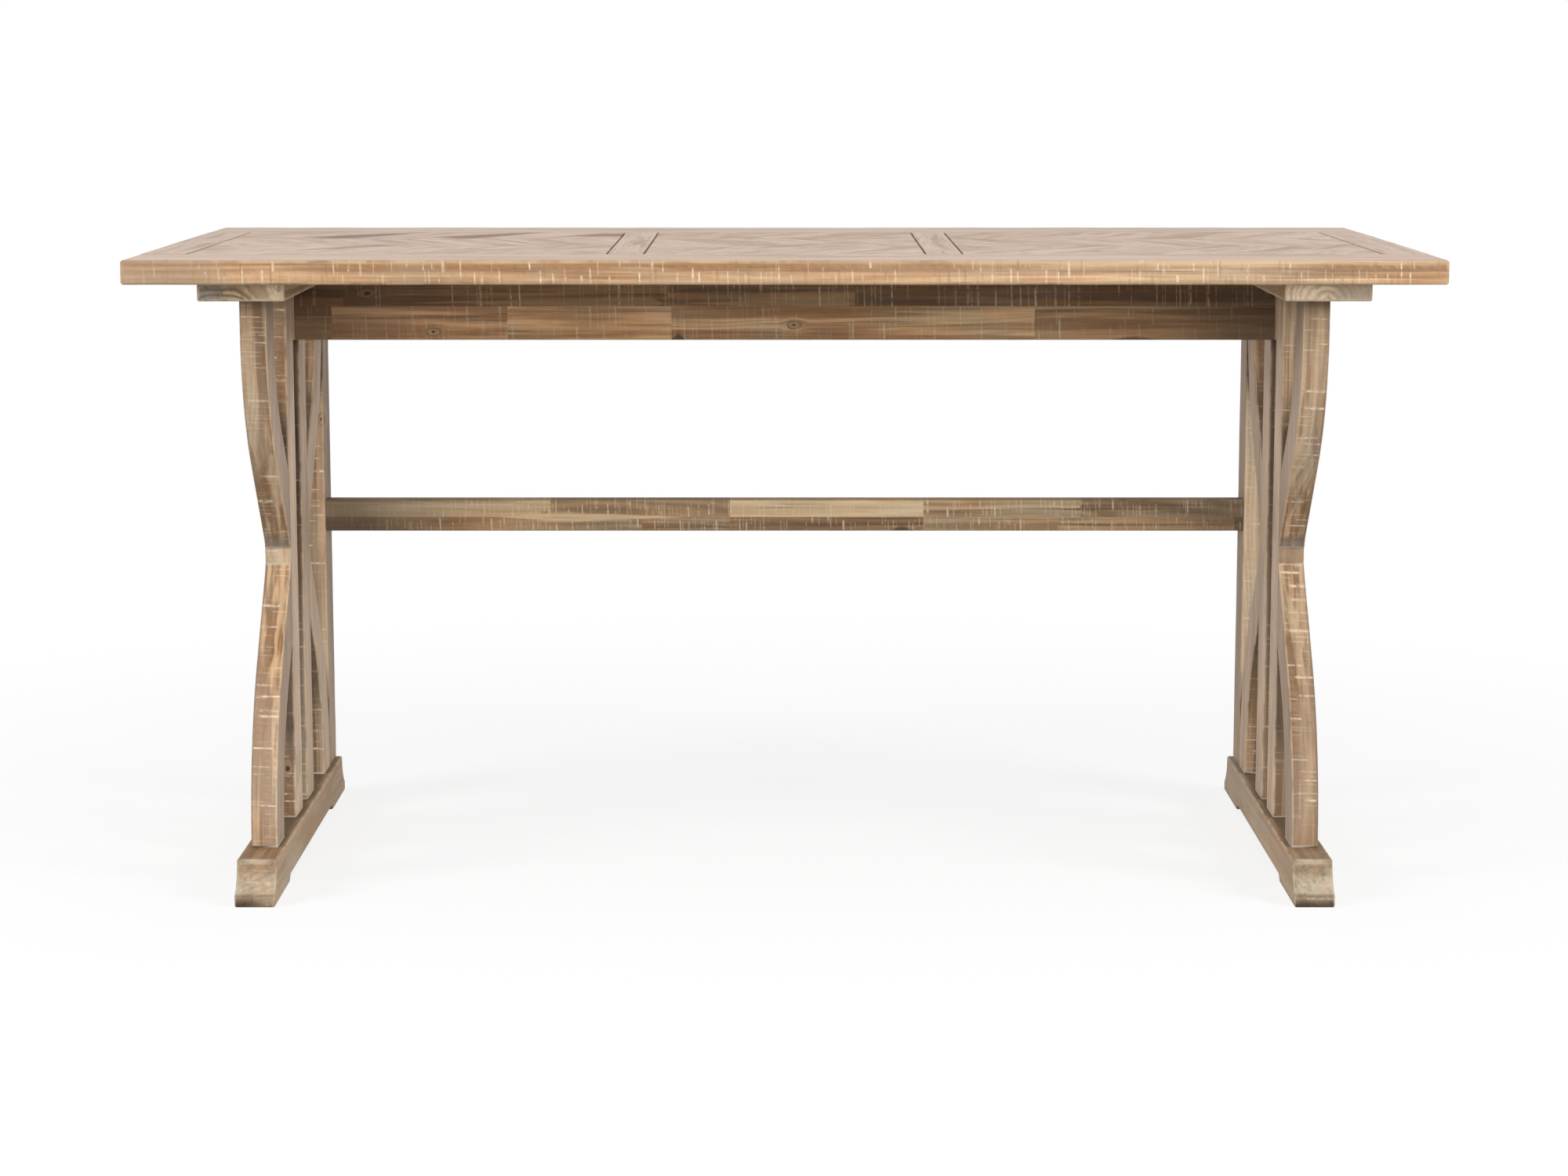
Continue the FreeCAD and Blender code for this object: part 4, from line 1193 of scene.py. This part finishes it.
parquet_wood, tree, shader, read = start_finish("parquet_wood")
tone = stored(tree, "tone")
local = vector_sums("SUBTRACT", read["object"], read["middle"])
turned = put(tree, "VectorRotate", local, rotation_type="Z_AXIS", invert=True)
tree.links.new(stored(tree, "turn"), turned.inputs["Angle"])
place = turned.outputs[0]
x, y, z = split(place)
marks = saw_lines(x, y, read["seed"], half=0.035, spacing=0.02, width=0.0014, coverage=0.35, edge=0.2)
looks = {look: tint(tone, PALE_PLANK[look], BROWN_PLANK[look]) for look in PALE_PLANK}
wood = place_group(
    limed_board, Place=joined(x, times(y, 0.26), z), Seed=read["seed"], Knot=NO_KNOT,
    Lime=(0.65, 0.54, 0.465), Bare=(0.55, 0.43, 0.34), Rings=0.12, Haze=0.45, Stain=0.12, Grit=0.4,
    Marks=times(marks, 0.18), Arris=0.0, **looks,
)
show_wood(shader, wood)
colour = smear(place, 1.0, read["seed"], 1.0, wood["Colour"])
draw_strokes(
    shader,
    read,
    colour,
    (
        ((-0.678, 0.155), (-0.565, 0.3), 0.072, 0.014, 0.95, (0.2, 0.13, 0.088)),
        ((-0.488, 0.155), (-0.385, 0.3), 0.064, 0.014, 0.95, (0.22, 0.14, 0.094)),
        ((-0.255, 0.22), (-0.335, 0.175), 0.085, 0.02, 0.95, (0.25, 0.15, 0.09)),
        ((-0.587, -0.075), (-0.708, -0.225), 0.042, 0.01, 0.75, (0.27, 0.195, 0.145)),
        ((-0.464, -0.25), (-0.55, -0.3), 0.04, 0.02, 0.4, (0.38, 0.28, 0.21)),
        ((-0.73, 0.24), (-0.69, 0.3), 0.03, 0.03, 0.35, (0.34, 0.25, 0.185)),
        ((-0.62, 0.1), (-0.545, -0.05), 0.007, 0.007, 0.5, (0.26, 0.19, 0.14)),
        ((-0.435, 0.1), (-0.36, -0.07), 0.009, 0.008, 0.5, (0.26, 0.19, 0.14)),
        ((-0.38, 0.1), (-0.29, -0.09), 0.03, 0.015, 0.5, (0.36, 0.24, 0.16)),
        ((-0.26, -0.1), (-0.34, -0.19), 0.03, 0.012, 0.6, (0.34, 0.23, 0.15)),
        ((-0.06, 0.16), (-0.1, 0.13), 0.035, 0.02, 0.55, (0.36, 0.24, 0.16)),
        ((0.035, -0.06), (-0.06, -0.17), 0.035, 0.012, 0.6, (0.33, 0.225, 0.15)),
        ((0.012, 0.12), (0.063, 0.05), 0.02, 0.012, 0.5, (0.34, 0.23, 0.15)),
        ((0.2, -0.1), (0.12, -0.21), 0.045, 0.02, 0.5, (0.34, 0.235, 0.16)),
        ((0.185, 0.27), (0.08, 0.2), 0.03, 0.015, 0.4, (0.36, 0.26, 0.19)),
        ((0.265, 0.15), (0.343, -0.01), 0.012, 0.014, 0.65, (0.3, 0.22, 0.16)),
        ((0.465, -0.075), (0.334, -0.22), 0.032, 0.01, 0.5, (0.34, 0.25, 0.185)),
        ((0.537, 0.26), (0.505, 0.19), 0.024, 0.012, 0.6, (0.36, 0.23, 0.14)),
        ((0.651, -0.08), (0.569, -0.2), 0.028, 0.01, 0.55, (0.34, 0.225, 0.14)),
        ((0.742, -0.1), (0.66, -0.265), 0.022, 0.01, 0.6, (0.34, 0.225, 0.14)),
        ((0.823, -0.055), (0.765, -0.18), 0.022, 0.01, 0.6, (0.32, 0.23, 0.16)),
    ),
)

draw = random.Random(7)
for panel in ("left", "centre", "right"):
    node = panel + "_parquet"
    whole = merged_copy(node)
    ease = whole.modifiers.new("ease", "BEVEL")
    ease.width = PLANK_EASE
    ease.segments = 2
    ease.limit_method = "ANGLE"
    bpy.ops.object.modifier_apply(modifier=ease.name)
    bpy.ops.mesh.separate(type="LOOSE")
    planks = sorted(bpy.context.selected_objects, key=lambda plank: plank.name)
    for plank in planks:
        in_middle_row = abs(middle_of(plank).y) < ROW_EDGE
        mark_board(plank, draw.uniform(30, 60))
        store(plank, "turn", -PLANK_TURN if in_middle_row else PLANK_TURN)
        store(plank, "tone", draw.random() ** 3 * 0.5)
    bpy.ops.object.select_all(action="DESELECT")
    for plank in planks:
        plank.select_set(True)
    bpy.context.view_layer.objects.active = planks[0]
    bpy.ops.object.join()
    parquet = bpy.context.object
    parquet.name = node + "_wood"
    hand_over(parquet, node, parquet_wood)


# Studio
# A plain pale floor and white surroundings, lit by large soft lamps, seen by a long lens from
# a little above the top, as in the photograph.
FLOOR_SEEN = (0.95, 0.95, 0.95)
FLOOR_BOUNCE = (0.5, 0.5, 0.5)
WHITE = (1.0, 1.0, 1.0, 1.0)
LOOKS_DOWN = 0.151


def seen_directly(tree):
    """1 for what the camera, a reflection or a clear surface sees, and 0 for light that bounces."""
    path = put(tree, "LightPath").outputs
    direct = larger(path["Is Camera Ray"], path["Is Glossy Ray"])
    return larger(direct, path["Is Transmission Ray"])


bpy.ops.object.select_all(action="DESELECT")
bpy.ops.mesh.primitive_plane_add(size=60.0, location=(0, 0, 0))
floor = bpy.context.object
floor.name = "studio_floor"
floor_paint = bpy.data.materials.new("floor_paint")
floor_paint.use_nodes = True
tree = floor_paint.node_tree
tree.nodes.clear()
direct = seen_directly(tree)
matt = put(tree, "BsdfDiffuse", tint(direct, FLOOR_BOUNCE, FLOOR_SEEN))
glow = put(tree, "Emission", WHITE, 1.0)
distance = reach_of(put(tree, "TexCoord").outputs["Object"])
whiteness = fade(distance, 0.9, 2.4, 0.82, 1.0)
seen = put(tree, "MixShader", times(direct, whiteness), matt.outputs[0], glow.outputs[0])
from_below = put(tree, "NewGeometry").outputs["Backfacing"]
clear = put(tree, "BsdfTransparent")
seen = put(tree, "MixShader", from_below, seen.outputs[0], clear.outputs[0])
out = tree.nodes.new("ShaderNodeOutputMaterial")
tree.links.new(seen.outputs[0], out.inputs["Surface"])
floor.data.materials.append(floor_paint)

world = bpy.data.worlds.new("studio_air")
bpy.context.scene.world = world
world.use_nodes = True
tree = world.node_tree
tree.nodes.clear()
direct = seen_directly(tree)
strength = put(tree, "MapRange", direct, 0.0, 1.0, 0.25, 1.0).outputs[0]
air = put(tree, "Background", WHITE, strength)
out = tree.nodes.new("ShaderNodeOutputWorld")
tree.links.new(air.outputs[0], out.inputs["Surface"])

for name, place, aim, size, power in (
    ("left_lamp", (-5.2, -3.0, 2.9), (0, 0, 0.5), 2.6, 262.0),
    ("right_lamp", (5.2, -3.0, 2.9), (0, 0, 0.5), 2.6, 262.0),
    ("front_lamp", (0.0, -6.2, 1.66), (0, 0, 0.6), 0.9, 88.0),
    ("top_lamp", (0.0, -0.6, 4.6), (0, 0, 0.8), 2.8, 38.0),
    ("back_lamp", (0.0, 4.4, 0.46), (0, 0, 0.46), 0.85, 40.0),
):
    lamp = bpy.data.lights.new(name, "AREA")
    lamp.size = size
    lamp.energy = power
    holder = bpy.data.objects.new(name, lamp)
    holder.location = place
    holder.rotation_euler = (Vector(aim) - Vector(place)).to_track_quat("-Z", "Y").to_euler()
    holder.visible_camera = False
    holder.visible_glossy = name != "back_lamp"
    bpy.context.scene.collection.objects.link(holder)

lens = bpy.data.cameras.new("photo_lens")
lens.sensor_fit = "HORIZONTAL"
lens.sensor_width = 36.0
lens.lens = 80.94
camera = bpy.data.objects.new("photo_camera", lens)
camera.location = (-0.001, -5.2322, 1.1894)
camera.rotation_euler = (math.pi / 2 - LOOKS_DOWN, 0.0, 0.0)
bpy.context.scene.collection.objects.link(camera)
bpy.context.scene.camera = camera
bpy.context.scene.view_settings.view_transform = "Standard"
